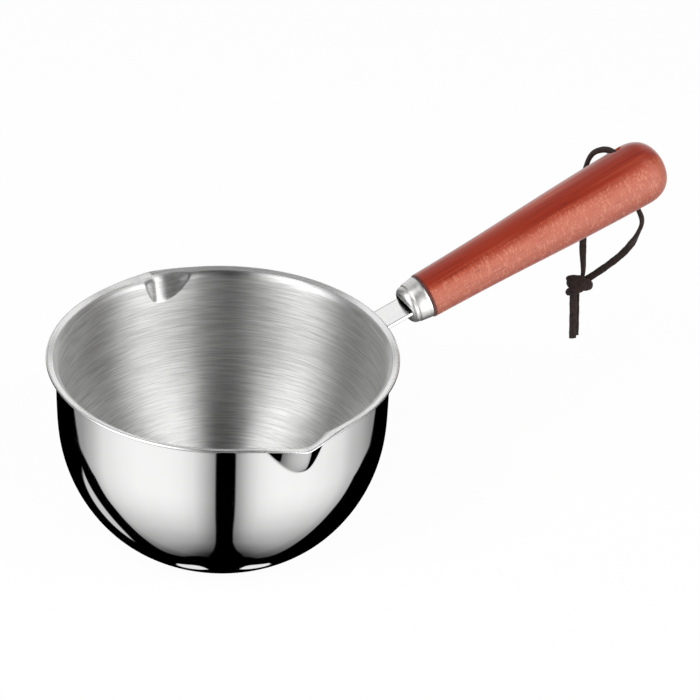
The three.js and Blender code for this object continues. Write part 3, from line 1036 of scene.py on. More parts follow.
    def build(self) -> bpy.types.Object:
        """Turn the section about +Z, press the spouts, and dress the outside, rim and inside."""
        section, zones = self.profile()
        angle = self.angles()[None, :]
        radius = np.broadcast_to(section[:, :1], (len(section), self.columns))
        z = np.broadcast_to(section[:, 1:], radius.shape)
        rings = self.pressed(radius, np.broadcast_to(angle, radius.shape), z)
        made = Skin(
            rings,
            start=np.array([0.0, 0.0, 0.0]),
            end=np.array([0.0, 0.0, self.wall]),
            zones=zones[:-1],
        ).piece("bowl_shell", math.radians(75))
        rim = TurnedSteel("rim_steel", (0.97, 0.97, 0.965), (0.88, 0.88, 0.875), 0.27, 0.6, 0.000003)
        for finish in (MirrorSteel(), rim, TurnedSteel()):
            made.data.materials.append(finish.make())
        return settle(made, Body.PAN, ["bowl"])


@dataclass(frozen=True)
class Strap:
    """The flat strap: welded foot, bend under the rim, and a straight run into the ferrule."""

    wall_radius: float = 60.7
    weld_gap: float = 0.3
    width: float = 12.0
    thickness: float = 1.5
    bend: float = 5.8
    foot: float = 13.0
    end: float = -4.5
    edge: float = 0.4

    def outline(self) -> np.ndarray:
        """The section across the strap: a rectangle whose corners are quarter circles.

        Returns:
            Points as (across, up), once round.
        """
        half_width = self.width / 2.0 - self.edge
        half_height = self.thickness / 2.0 - self.edge
        corners = [(1, 1, 0.0), (-1, 1, 0.5), (-1, -1, 1.0), (1, -1, 1.5)]
        flats = np.linspace(-1.0, 1.0, 13)[1:-1]
        parts = []
        for x, y, start in corners:
            turn = math.pi * start
            parts.append(arc((x * half_width, y * half_height), self.edge, turn, turn + math.pi / 2, 5))
            if x == y:
                level = np.full(len(flats), y * self.thickness / 2.0)
                parts.append(np.stack([-x * flats * half_width, level], axis=-1))
        return np.concatenate(parts)

    def build(self) -> bpy.types.Object:
        """Carry the section along the foot, the bend and the straight run, then curve the foot.

        The foot's points move towards the bowl by the wall's own sagitta, radius minus the root of
        radius^2 - across^2, fading out over the bend.
        """
        slope = HANDLE.slope
        foot_x = self.wall_radius + self.weld_gap + self.thickness / 2.0
        bend_x = foot_x + self.bend
        leave_x = bend_x - self.bend * math.sin(slope)
        rise = math.tan(slope)
        leave_z = HANDLE.origin[2] + (leave_x - HANDLE.origin[0]) * rise
        bend_z = leave_z - self.bend * math.cos(slope)
        end = np.array([HANDLE.origin[0], HANDLE.origin[2]]) + self.end * np.array(
            [math.cos(slope), math.sin(slope)]
        )
        path = np.concatenate(
            [
                line((foot_x, bend_z - self.foot), (foot_x, bend_z), 14),
                arc((bend_x, bend_z), self.bend, math.pi, math.pi / 2 + slope, 18),
                line((leave_x, leave_z), end, 16),
                end[None, :],
            ]
        )
        ahead = unit(np.gradient(path, axis=0))
        up = np.stack([-ahead[:, 1], ahead[:, 0]], axis=-1)
        shape = self.outline()
        x = path[:, :1] + shape[None, :, 1] * up[:, :1]
        z = path[:, 1:] + shape[None, :, 1] * up[:, 1:]
        y = np.broadcast_to(shape[None, :, 0], x.shape)
        on_foot = np.clip((leave_z - path[:, 1:]) / (leave_z - bend_z), 0.0, 1.0)
        sag = self.wall_radius - np.sqrt(self.wall_radius**2 - y**2)
        rings = np.stack([x - sag * on_foot, y, z], axis=-1)
        made = Skin(rings, start=rings[0].mean(axis=0), end=rings[-1].mean(axis=0)).piece("strap_band")
        steel = SatinSteel("strap_steel", (0.93, 0.93, 0.925), 0.17, (60.0, 2200.0, 2200.0), 0.05)
        made.data.materials.append(steel.make())
        return settle(made, Body.PAN, ["handle_strap"])


@dataclass(frozen=True)
class Ferrule:
    """The pressed cup on the grip's nose: domed cap with an oval slot, a groove and a tapered band."""

    front: float = -8.5
    length: float = 8.2
    rear_radius: float = 8.45
    front_radius: float = 7.8
    wall: float = 0.8
    cap_depth: float = 2.7
    cap_step: float = 0.35
    cap_face: float = 5.2
    slot_half_width: float = 6.3
    slot_half_height: float = 2.25
    slot_lift: float = 0.9
    columns: int = 160

    def circle(self) -> np.ndarray:
        """A circle of radius 1 about the axis, as (across, up) points."""
        turn = full_turn(self.columns)
        return np.stack([np.cos(turn), np.sin(turn)], axis=-1)

    def slot(self) -> np.ndarray:
        """The slot's outline, two half circles joined by straights, at even steps of its length.

        The turn grows evenly along each part of a circle and rests on the straights, while the
        circle's middle rests on the circles and moves evenly along each straight.

        Returns:
            Points as (across, up), starting at the +across end.
        """
        radius = self.slot_half_height
        reach = self.slot_half_width - radius
        quarter = math.pi * radius / 2.0
        ends = np.cumsum([0.0, quarter, 2.0 * reach, 2.0 * quarter, 2.0 * reach, quarter])
        place = np.linspace(0.0, ends[-1], self.columns, endpoint=False)
        turn = np.interp(place, ends, math.pi * np.array([0.0, 0.5, 0.5, 1.5, 1.5, 2.0]))
        middle = np.interp(place, ends, reach * np.array([1.0, 1.0, -1.0, -1.0, 1.0, 1.0]))
        return np.stack([middle + radius * np.cos(turn), self.slot_lift + radius * np.sin(turn)], axis=-1)

    def cap(self, radius: np.ndarray, inset: float) -> np.ndarray:
        """The cap's place along the axis at a radius: flat, then a quarter of an ellipse.

        Args:
            radius: Each point's distance from the axis.
            inset: How far inside the cap's outer face the points lie.

        Returns:
            Each point's place along the axis.
        """
        rim = self.front_radius - self.cap_step - inset
        face = self.cap_face - inset * 0.5
        share = np.clip((radius - face) / (rim - face), 0.0, 1.0)
        rise = self.cap_depth - self.cap_step - inset * 0.5
        return self.front + inset + rise * (1.0 - np.sqrt(1.0 - share**2))

    def spread(self, radius: float, inset: float, shares: np.ndarray) -> np.ndarray:
        """Lay rings on the cap, part of the way from the slot's outline to a circle.

        Args:
            radius: The circle's radius.
            inset: How far inside the cap's outer face the rings lie.
            shares: How far each ring is on its way, 0 at the slot and 1 at the circle.

        Returns:
            The rings as (along, across, up).
        """
        part = shares[:, None, None]
        flat = self.slot()[None] * (1.0 - part) + radius * self.circle()[None] * part
        along = self.cap(np.linalg.norm(flat, axis=-1), inset)
        return np.concatenate([along[..., None], flat], axis=-1)

    def band(self, points: Sequence[tuple[float, float]]) -> np.ndarray:
        """Round rings at given places.

        Args:
            points: Each ring's place along the axis, and its radius.

        Returns:
            The rings as (along, across, up).
        """
        at = np.asarray(points)
        along = np.broadcast_to(at[:, :1], (len(at), self.columns))
        return np.concatenate([along[..., None], at[:, 1:, None] * self.circle()[None]], axis=-1)

    def build(self) -> bpy.types.Object:
        """Run rings from the slot out over the cap, along the band, and back along the inside."""
        cap_radius = self.front_radius - self.cap_step
        rear = self.front + self.length
        shoulder = self.front + self.cap_depth
        inner_cap = cap_radius - self.wall + 0.12
        outer = self.spread(cap_radius, 0.0, np.sin(np.linspace(0.0, math.pi / 2, 13)))
        groove = self.band(
            [
                (shoulder - 0.30, cap_radius + 0.02),
                (shoulder - 0.12, cap_radius - 0.10),
                (shoulder + 0.02, cap_radius - 0.16),
                (shoulder + 0.14, cap_radius - 0.08),
                (shoulder + 0.26, self.front_radius - 0.16),
                (shoulder + 0.42, self.front_radius - 0.03),
                (shoulder + 0.60, self.front_radius + 0.02),
            ]
        )
        body = self.band(
            [
                (shoulder + 2.2, self.front_radius + 0.24),
                (rear - 1.2, self.rear_radius - 0.12),
                (rear - 0.35, self.rear_radius),
                (rear - 0.12, self.rear_radius - 0.05),
                (rear, self.rear_radius - 0.2),
                (rear, self.rear_radius - self.wall),
                (shoulder + 0.6, self.front_radius - self.wall),
                (shoulder, inner_cap),
            ]
        )
        inner = self.spread(inner_cap, self.wall, np.array([1.0, 0.85, 0.6, 0.3, 0.0]))
        local = np.concatenate([outer, groove, body, inner])
        # The cup's inside faces, from the rear lip on, form zone 1: painted shade inside the cup and its
        # slot.
        inside = np.zeros(len(local), int)
        inside[len(outer) + len(groove) + 5 :] = 1
        made = Skin(HANDLE.place(local), looped=True, zones=inside).piece("ferrule_cup", math.radians(50))
        for finish in (
            SatinSteel("ferrule_steel", (0.87, 0.86, 0.85), 0.38, (1500.0, 160.0, 160.0), 0.14),
            # Near-black steel for zone 1: painted shade, where little light reaches inside the cup.
            SatinSteel("ferrule_painted_shade", (0.060, 0.059, 0.058), 0.70, (900.0, 160.0, 160.0), 0.2),
        ):
            made.data.materials.append(finish.make())
        return settle(made, Body.PAN, ["ferrule"])


@dataclass(frozen=True)
class Grip:
    """The turned grip: spigot, slight waist, swell and rounded end, with the lace's cross hole."""

    length: float = 109.7
    nose_radius: float = 8.95
    swell_radius: float = 12.58
    waist: float = 0.2
    end_round: float = 12.1
    end_fullness: float = 2.55
    edge_break: float = 0.4
    spigot: float = 4.2
    spigot_radius: float = 7.2
    bore_radius: float = 2.8
    bore_end: float = 35.0
    hole_radius: float = 2.0
    hole_from_end: float = 15.4
    hole_roll: float = math.radians(29)
    hole_lean: float = math.radians(4)
    hole_aside: float = -0.6
    mouth_ease: float = 0.9
    mouth_flare: float = 0.35
    pin_start: float = 1.2
    pin_past: float = 3.0
    columns: int = 168

    def radius(self, place: np.ndarray) -> np.ndarray:
        """The outside radius at a place along the grip.

        Up to the swell it runs straight from the nose to the swell, less one sine wave of waist;
        past it, it is a quarter of a superellipse.

        Args:
            place: Places along the grip, from its shoulder.

        Returns:
            The radius at each.
        """
        swell_at = self.length - self.end_round
        share = np.clip(place / swell_at, 0.0, 1.0)
        taper = self.nose_radius + (self.swell_radius - self.nose_radius) * share
        waisted = taper - self.waist * np.sin(2.0 * math.pi * share)
        past = np.clip((place - swell_at) / self.end_round, 0.0, 1.0)
        rounded = self.swell_radius * (1.0 - past**self.end_fullness) ** (1.0 / self.end_fullness)
        return np.where(place <= swell_at, waisted, rounded)

    def hole(self, place: np.ndarray) -> np.ndarray:
        """Points of the cross hole's middle line.

        Args:
            place: Distances along that line from where it passes the grip's axis.

        Returns:
            The points as (along, across, up).
        """
        lean, roll = self.hole_lean, self.hole_roll
        centre = self.length - self.hole_from_end
        return np.stack(
            [
                centre + place * math.sin(lean),
                self.hole_aside + place * math.cos(lean) * math.sin(roll),
                place * math.cos(lean) * math.cos(roll),
            ],
            axis=-1,
        )

    def cutter(self) -> Skin:
        """A round pin along the hole that flares at both mouths, so that the cut edge is eased.

        Its radius is the hole's radius plus the flare times the square of how far it is past the
        depth at which the easing starts, in millimetres.

        Returns:
            The pin's surface.
        """
        mouth = float(self.radius(np.array([self.length - self.hole_from_end]))[0])
        outward = np.linspace(mouth - self.pin_start, mouth + self.pin_past, 12)
        place = np.concatenate([-outward[::-1], outward])
        past = np.maximum(np.abs(place) - mouth + self.mouth_ease, 0.0)
        radius = self.hole_radius + self.mouth_flare * past**2
        middle = self.hole(place)
        axis = unit(middle[-1] - middle[0])
        side = unit(np.cross(axis, np.array([1.0, 0.0, 0.0])))
        other = np.cross(axis, side)
        turn = full_turn(48)
        spoke = np.cos(turn)[:, None] * side + np.sin(turn)[:, None] * other
        rings = middle[:, None, :] + radius[:, None, None] * spoke[None]
        return Skin(HANDLE.place(rings), start=HANDLE.place(middle[0]), end=HANDLE.place(middle[-1]))

    def drill(self, whole: bpy.types.Object) -> None:
        """Cut the lace's hole through the whole grip, and shade the result smooth with creases.

        Args:
            whole: The grip without its hole.
        """
        pin = self.cutter().piece("hole_pin")
        cut = whole.modifiers.new("lace_hole", "BOOLEAN")
        cut.operation = "DIFFERENCE"
        cut.solver = "EXACT"
        cut.object = pin
        bpy.context.view_layer.update()
        made = whole.evaluated_get(bpy.context.evaluated_depsgraph_get())
        mesh = bpy.data.meshes.new_from_object(made)
        whole.modifiers.clear()
        whole.data = mesh
        mesh.polygons.foreach_set("use_smooth", np.ones(len(mesh.polygons), bool))
        mesh.set_sharp_from_angle(angle=math.radians(40))
        mesh.materials.clear()
        bpy.data.objects.remove(pin)

    def build(self) -> bpy.types.Object:
        """Turn the profile about the handle's axis and cut the lace's hole through it."""
        swell_at = self.length - self.end_round
        taper = np.linspace(self.edge_break, swell_at, 70, endpoint=False)
        end = swell_at + self.end_round * np.sin(np.linspace(0.0, math.pi / 2, 34, endpoint=False))
        outside = np.concatenate([taper, end])
        nose, edge = self.nose_radius, self.edge_break
        ease = np.linspace(math.pi / 2, 0.0, 5)[1:-1]
        broken = np.stack([edge * (1.0 - np.sin(ease)), nose - edge + edge * np.cos(ease)], axis=-1)
        start = np.array(
            [
                (self.bore_end, self.bore_radius),
                (-self.spigot, self.bore_radius),
                (-self.spigot, self.spigot_radius),
                (0.0, self.spigot_radius + 0.1),
                (0.0, nose - edge),
            ]
        )
        outer = np.stack([outside, self.radius(outside)], axis=-1)
        profile = np.concatenate([start, broken, outer])
        turn = full_turn(self.columns)
        rings = np.stack(
            [
                np.broadcast_to(profile[:, :1], (len(profile), self.columns)),
                profile[:, 1:] * np.cos(turn)[None, :],
                profile[:, 1:] * np.sin(turn)[None, :],
            ],
            axis=-1,
        )
        made = Skin(
            HANDLE.place(rings),
            start=HANDLE.place(np.array([self.bore_end, 0.0, 0.0])),
            end=HANDLE.place(np.array([self.length, 0.0, 0.0])),
        ).piece("grip_wood")
        self.drill(made)
        made.data.materials.append(Rosewood().make())
        return settle(made, Body.PAN, ["grip"])


@dataclass(frozen=True)
class KnotTurn:
    """One turn of the knot: an ellipse round a slightly tilted axis.

    Attributes:
        aside: How far it lies to the right of the knot's middle.
        above: How far it lies above it.
        half_width: Half its width.
        half_depth: Half its depth.
        tilt: How far it is tilted.
        broader: How much broader than the plain lace it is pulled.
    """

    aside: float
    above: float
    half_width: float
    half_depth: float
    tilt: float
    broader: float


@dataclass(frozen=True)
class Lace:
    """The leather thong: two lengths out of the cross hole, knotted together below the grip."""

    width: float = 2.9
    thickness: float = 1.7
    soft_edge: float = 0.6
    soft_turn: float = 0.95
    mouth: float = 12.482
    bend_depth: float = 2.1
    grip: Grip = field(default_factory=Grip)
    front_hinge: Triple = (173.926, -8.587, 99.531)
    back_hinge: Triple = (162.116, 13.8, 104.853)
    knot_centre: Triple = (69.2, 10.6, -44.6)
    bend_centre: Triple = (90.2, 10.0, 5.5)
    right_way: Triple = (0.904, -0.427, 0.0)
    over_way: Triple = (0.224, 0.474, 0.852)
    front_way: Triple = (-0.364, -0.770, 0.524)
    turns: tuple[KnotTurn, ...] = (
        KnotTurn(0.3, 0.3, 4.6, 3.1, math.radians(-8), 1.75),
        KnotTurn(-1.4, -2.1, 3.4, 2.7, math.radians(22), 1.25),
        KnotTurn(-1.3, 2.2, 3.2, 2.5, math.radians(-4), 1.10),
    )
    turn_pinch: float = 0.4
    core_half: Triple = (4.2, 2.7, 2.3)
    front_twist: float = math.radians(65)
    back_twist: float = math.radians(72)
    bend_pull: float = 2.5
    blend_above: float = 1.0
    blend_below: float = 3.0

    def front_route(self) -> np.ndarray:
        """From the middle of the hole out of its lower mouth, down the front and through the knot."""
        inside = self.grip.hole(np.array([-0.5, -4.0, -8.0, -self.mouth]))
        hanging = np.array(
            [
                (93.3, -7.7, -12.4),
                (93.1, -8.4, -14.5),
                (92.5, -8.3, -16.9),
                (91.5, -7.4, -19.6),
                (90.2, -5.6, -23.4),
                (88.6, -3.0, -27.9),
                (86.3, 0.0, -32.3),
                (83.8, 2.9, -35.9),
                (80.6, 5.8, -39.2),
                (77.4, 8.2, -41.8),
                (74.2, 9.9, -43.6),
                (71.4, 10.5, -44.3),
                (68.6, 10.4, -44.6),
                (66.2, 9.9, -45.8),
                (64.5, 9.6, -49.8),
                (62.4, 9.5, -58.4),
                (60.2, 9.4, -67.0),
            ]
        )
        return HANDLE.place(spline(np.concatenate([inside, hanging]), 8))

    def back_route(self) -> np.ndarray:
        """From the middle of the hole out of its upper mouth, over the back, down and through the knot."""
        inside = self.grip.hole(np.array([0.5, 4.0, 8.0, self.mouth - self.bend_depth]))
        hanging = np.array(
            [
                (94.7, 6.6, 10.1),
                (93.9, 8.2, 10.7),
                (92.7, 9.9, 10.8),
                (91.2, 11.4, 10.4),
                (89.9, 12.5, 9.7),
                (88.5, 13.3, 8.4),
                (87.0, 13.7, 6.5),
                (85.6, 13.8, 4.2),
                (84.3, 13.8, 1.8),
                (83.3, 13.8, -2.0),
                (82.0, 13.8, -7.2),
                (79.5, 13.5, -16.5),
                (76.6, 12.8, -26.9),
                (74.4, 12.0, -34.6),
                (72.2, 11.2, -41.6),
                (70.6, 11.6, -44.6),
                (68.4, 11.5, -46.6),
                (66.7, 11.2, -50.6),
                (64.6, 11.1, -59.2),
                (62.4, 11.0, -67.8),
            ]
        )
        return HANDLE.place(spline(np.concatenate([inside, hanging]), 8))

    def section(self, count: int, softness: float) -> np.ndarray:
        """A flat lace's section: a superellipse from a rectangle at softness 0 to an ellipse at 1.

        Args:
            count: How many points it gets.
            softness: How round it is.

        Returns:
            Points as (wide, thin), once round.
        """
        turn = full_turn(count)
        wide, thin = (np.sign(wave) * np.abs(wave) ** softness for wave in (np.cos(turn), np.sin(turn)))
        return np.stack([wide * self.width / 2.0, thin * self.thickness / 2.0], axis=-1)

    def sweep(
        self, route: np.ndarray, facing: np.ndarray, closed: bool = False, broader: float | np.ndarray = 1.0
    ) -> Skin:
        """Carry the section along a route, its flat side turned towards a facing direction.

        The width wavers along the route by two small sine waves of its length.

        Args:
            route: Points of the middle line.
            facing: For each point, roughly the way that the flat side looks.
            closed: Whether the route joins on to its own start.
            broader: How much broader than the plain lace the section is.

        Returns:
            The lace's surface.
        """
        if closed:
            ahead = unit(np.roll(route, -1, axis=0) - np.roll(route, 1, axis=0))
        else:
            ahead = unit(np.gradient(route, axis=0))
        wide = unit(np.cross(ahead, facing))
        out = np.cross(wide, ahead)
        shape = self.section(20, self.soft_turn if closed else self.soft_edge)
        run = running_length(route)
        wobble = 1.0 + 0.03 * np.sin(run * 0.9) + 0.02 * np.sin(run * 2.3 + 1.0)
        rings = (
            route[:, None, :]
            + shape[None, :, :1] * (broader * wobble)[:, None, None] * wide[:, None, :]
            + shape[None, :, 1:] * out[:, None, :]
        )
        if closed:
            return Skin(rings, looped=True, along=run)
        return Skin(rings, start=route[0], end=route[-1], along=run)

    def knot(self) -> bpy.types.Object:
        """A tight overhand knot: three pulled-flat turns round a core of crossing leather.

        Each turn is an ellipse, pinched where it bends round to the back, and the core is an
        ellipsoid.

        Returns:
            The knot as one piece.
        """
        centre = HANDLE.place(np.array(self.knot_centre))
        right, over, front = (np.array(way) for way in (self.right_way, self.over_way, self.front_way))
        angle = full_turn(72)[:, None]
        pieces = []
        for i, turn in enumerate(self.turns):
            side = right * math.cos(turn.tilt) + over * math.sin(turn.tilt)
            middle = centre + turn.aside * right + turn.above * over
            sideways = turn.half_width * np.cos(angle) * side
            route = middle + sideways + turn.half_depth * np.sin(angle) * front
            pinched = turn.broader * (1.0 - self.turn_pinch * np.cos(angle[:, 0]) ** 4)
            skin = self.sweep(route, route - middle, closed=True, broader=pinched)
            pieces.append(skin.piece(f"lace_turn_{i}"))
        half_length, half_height, half_depth = self.core_half
        slices = np.linspace(-1.0, 1.0, 16)[1:-1, None, None]
        spin = full_turn(32)[None, :, None]
        spoke = half_height * np.cos(spin) * over + half_depth * np.sin(spin) * front
        rings = centre + half_length * slices * right + np.sqrt(1.0 - slices**2) * spoke
        tip = half_length * right
        core = Skin(rings, start=centre - tip, end=centre + tip, along=half_length * slices[:, 0, 0])
        pieces.append(core.piece("lace_core"))
        return joined(pieces, "lace_knot_turns")

    def drop(self, route: np.ndarray, hinge: Triple) -> np.ndarray:
        """How far down from its hinge each point of a route is, 1 at the knot's height."""
        knot_z = HANDLE.place(np.array(self.knot_centre))[2]
        return (hinge[2] - route[:, 2:]) / (hinge[2] - knot_z)

    def turned_flat(self, twist: np.ndarray) -> np.ndarray:
        """The way the flat side looks: to the front, turned to the right by a twist."""
        return np.array(self.front_way) * np.cos(twist) + np.array(self.right_way) * np.sin(twist)

    def front_facing(self, route: np.ndarray) -> np.ndarray:
        """The front length's flat side, turned at the hole and straight from half-way down."""
        down = self.drop(route, self.front_hinge)
        return self.turned_flat(self.front_twist * (1.0 - smooth_step(0.12, 0.5, down)))

    def back_facing(self, route: np.ndarray) -> np.ndarray:
        """The back length's flat side.

        It twists on the way down to the knot and straightens below it. Over the back of the grip
        it is pulled to look away from the middle of that bend.

        Args:
            route: Points of the middle line.

        Returns:
            The way the flat side looks at each point.
        """
        down = self.drop(route, self.back_hinge)
        twisting = smooth_step(0.5, 0.97, down) * (1.0 - smooth_step(0.98, 1.12, down))
        over_bend = 1.0 - smooth_step(-0.06, 0.03, down)
        outward = unit(route - HANDLE.place(np.array(self.bend_centre)))
        return unit(self.turned_flat(self.back_twist * twisting) + self.bend_pull * over_bend * outward)

    def build(self) -> list[bpy.types.Object]:
        leather = Leather().make()
        front, back = self.front_route(), self.back_route()
        knot = self.knot()
        knot.data.materials.append(leather)
        settle(knot, Body.LANYARD, ["lace_knot"])
        front_nodes = ["lace_front_strand", "lace_near_tail"]
        back_nodes = ["lace_loop", "lace_back_strand", "lace_far_tail"]
        front_facing, back_facing = self.front_facing(front), self.back_facing(back)
        lengths = (
            ("lace_front", front, front_facing, self.front_hinge, -self.mouth, front_nodes, [knot]),
            ("lace_back", back, back_facing, self.back_hinge, self.mouth, back_nodes, []),
        )
        made = []
        for name, route, facing, hinge, mouth, nodes, partners in lengths:
            piece = self.sweep(route, facing).piece(name)
            piece.data.materials.append(leather)
            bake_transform(piece)
            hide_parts(*nodes)
            (HANDLE.place(self.grip.hole(np.array([mouth])))[0] * METRES).tolist()
            made.append(piece)
        return [*made, knot]


def joined(pieces: Sequence[bpy.types.Object], name: str) -> bpy.types.Object:
    """Put several meshes into one object under one name.

    Args:
        pieces: The objects to join, which are removed.
        name: The new object's name.

    Returns:
        The new object.
    """
    work = bmesh.new()
    for piece in pieces:
        work.from_mesh(piece.data)
    mesh = bpy.data.meshes.new(name)
    work.to_mesh(mesh)
    work.free()
    for piece in pieces:
        bpy.data.objects.remove(piece)
    made = bpy.data.objects.new(name, mesh)
    bpy.context.scene.collection.objects.link(made)
    return made


@dataclass(frozen=True)
class Lamp:
    """A square soft lamp: its place on the camera's ground axes and its side in metres, and its power."""

    name: str
    place: Triple
    size: float
    power: float


@dataclass(frozen=True)
class Lens:
    """A bright shape below the horizon, between two parabolas.

    Attributes:
        centre: Its middle along the camera's right.
        half_width: Half its length that way.
        middle: Its middle along the way out from the camera.
        half_depth: Half its breadth that way.
        strength: Its brightness.
    """

    centre: float
    half_width: float
    middle: float
    half_depth: float
    strength: float


@dataclass(frozen=True)
class Sight:
    """A direction that the steel mirrors, on the camera's ground axes.

    Attributes:
        board: The world's node board.
        right: Its part to the camera's right.
        away: Its part away from the camera.
        up: Its part upwards.
    """

    board: NodeBoard
    right: Socket
    away: Socket
    up: Socket


@dataclass(frozen=True)
class Surroundings:
    """White to the camera, soft light for dull surfaces, and panels of light for the steel to mirror.

    The bells give brightness by azimuth in degrees from the camera, or by the place across the
    dark gap between the low panels. The other tables go by height, from -1 straight down to 1
    straight up: the gap's width, the panels' level, and the edge at which they end at the back.
    """

    outer_bell: Table = (
        (-180, 0.2), (-130, 0.25), (-112, 0.34), (-100, 0.55), (-90, 0.80), (-75, 0.93), (-60, 1.0),
        (60, 1.0), (75, 0.93), (90, 0.80), (100, 0.58), (112, 0.44), (123, 0.28), (180, 0.2),
    )
    upper_bell: Table = (
        (-180, 0.02), (-125, 0.02), (-106, 0.05), (-95, 0.10), (-85, 0.24), (-76, 0.54), (-67, 0.86),
        (-58, 1.0), (-50, 0.92), (-43, 0.74), (-35, 0.53), (-27, 0.33), (-20, 0.19), (-13, 0.06),
        (-6, 0.0), (2, 0.0), (8.6, 0.25), (14, 0.04), (17, 0.06), (21, 0.44), (24, 0.54), (30, 0.64),
        (38, 0.76), (46, 0.90), (53, 1.0), (63, 1.0), (71, 0.84), (79, 0.50), (88, 0.16), (99, 0.05),
        (115, 0.02), (180, 0.02),
    )
    gap_bell: Table = (
        (-0.62, 1.0), (-0.47, 0.95), (-0.342, 0.84), (-0.225, 0.60), (-0.0906, 0.30), (-0.07, 0.0),
        (0.15, 0.0), (0.167, 0.32), (0.225, 0.45), (0.326, 0.69), (0.438, 0.88), (0.545, 0.96),
        (0.64, 1.0),
    )
    gap_widths: Table = (
        (-1.0, 0.9), (-0.985, 0.68), (-0.96, 0.58), (-0.92, 0.56), (-0.75, 0.70), (-0.55, 0.835),
        (1.0, 0.835),
    )
    levels: Table = (
        (-1.0, 0.0), (-0.98, 0.24), (-0.94, 0.42), (-0.839, 0.66), (-0.707, 0.86), (-0.6, 0.97),
        (-0.5, 1.0), (0.5, 1.0), (0.8, 0.85), (1.0, 0.6),
    )
    edges: Table = (
        (-1.0, 0.0), (-0.993, 0.0), (-0.98, 0.10), (-0.95, 0.18), (-0.91, 0.15), (-0.84, 0.12),
        (-0.74, 0.14), (-0.616, 0.21), (-0.572, 0.34), (-0.552, 0.48), (-0.53, 0.56), (-0.50, 1.0),
        (1.0, 1.0),
    )
    lenses: tuple[Lens, ...] = (
        Lens(-0.52, 0.19, 0.37, 0.090, 0.60),
        Lens(-0.0945, 0.056, 0.42, 0.125, 0.85),
        Lens(0.109, 0.053, 0.43, 0.125, 0.85),
    )
    softbox: float = 3.4
    edge_slant: float = 0.06
    behind_light: float = 0.95
    overhead_light: float = 0.95
    crown_light: float = 0.30
    dull_light: float = 0.68

    def panels(self, sight: Sight) -> Socket:
        """The two low panels on either side of a gap, and the high ones with a dark slab between.

        Args:
            sight: The mirrored direction.

        Returns:
            The panels' brightness before their level and their back edge.
        """
        board, right, up = sight.board, sight.right, sight.up
        azimuth = board.math("DEGREES", board.math("ARCTAN2", right, board.times(sight.away, -1.0)))
        round_share = board.plus(board.over(azimuth, 360.0), 0.5)
        outer = board.graph(round_share, self.outer_bell, -180.0, 180.0)
        gap_width = board.graph(board.share(up), self.gap_widths, -1.0, 1.0, "CARDINAL")
        gap = board.graph(board.share(board.over(right, gap_width)), self.gap_bell, -1.0, 1.0)
        upper = board.graph(round_share, self.upper_bell, -180.0, 180.0)
        slab = board.step(board.math("ABSOLUTE", board.minus(right, 0.02)), 0.34, 0.20)
        slab = board.times(slab, board.step(up, 0.25, 0.60))
        upper = board.times(upper, self.softbox, board.minus(1.0, slab))
        raised = board.step(up, -0.47, -0.40)
        lower = board.times(outer, gap, board.minus(1.0, raised))
        return board.plus(lower, board.times(upper, raised))

    def front_light(self, sight: Sight) -> Socket:
        """The panels times their level, up to the edge at which they end at the back.

        Args:
            sight: The mirrored direction.

        Returns:
            The brightness.
        """
        board = sight.board
        height = board.share(sight.up)
        level = board.graph(height, self.levels, -1.0, 1.0)
        edge = board.graph(height, self.edges, -1.0, 1.0, "CARDINAL")
        edge = board.plus(edge, board.times(sight.right, self.edge_slant))
        inside = board.step(board.minus(edge, sight.away), -0.012, 0.012)
        return board.times(self.panels(sight), level, inside)

    def back_lights(self, sight: Sight) -> list[Socket]:
        """Three lights, each a product of windows and steps: behind, overhead and at the crown.

        Args:
            sight: The mirrored direction.

        Returns:
            Each light's brightness.
        """
        board, away, up = sight.board, sight.away, sight.up
        sideways = board.math("ABSOLUTE", sight.right)
        behind = board.times(
            board.window(up, -0.15, 0.40, 0.08),
            board.step(away, -0.1, 0.25),
            board.step(sideways, 0.72, 0.52),
            self.behind_light,
        )
        overhead = board.times(
            board.window(sideways, 0.12, 0.62, 0.08),
            board.window(up, 0.48, 0.80, 0.06),
            board.step(away, 0.3, 0.5),
            self.overhead_light,
        )
        crown = board.times(board.step(away, 0.03, 0.15), board.step(up, 0.55, 0.70), self.crown_light)
        return [behind, overhead, crown]

    def lens_light(self, sight: Sight, lens: Lens) -> Socket:
        """A lens: within its breadth times 1 - t^2, where t runs from -1 to 1 along it.

        Args:
            sight: The mirrored direction.
            lens: The lens.

        Returns:
            Its brightness.
        """
        board = sight.board
        t = board.over(board.minus(sight.right, lens.centre), lens.half_width)
        bulge = board.times(board.minus(1.0, board.times(t, t)), lens.half_depth)
        off = board.math("ABSOLUTE", board.minus(sight.away, lens.middle))
        shape = board.step(board.minus(bulge, off), 0.0, 0.03)
        return board.times(shape, board.step(sight.up, -0.35, -0.45), lens.strength)

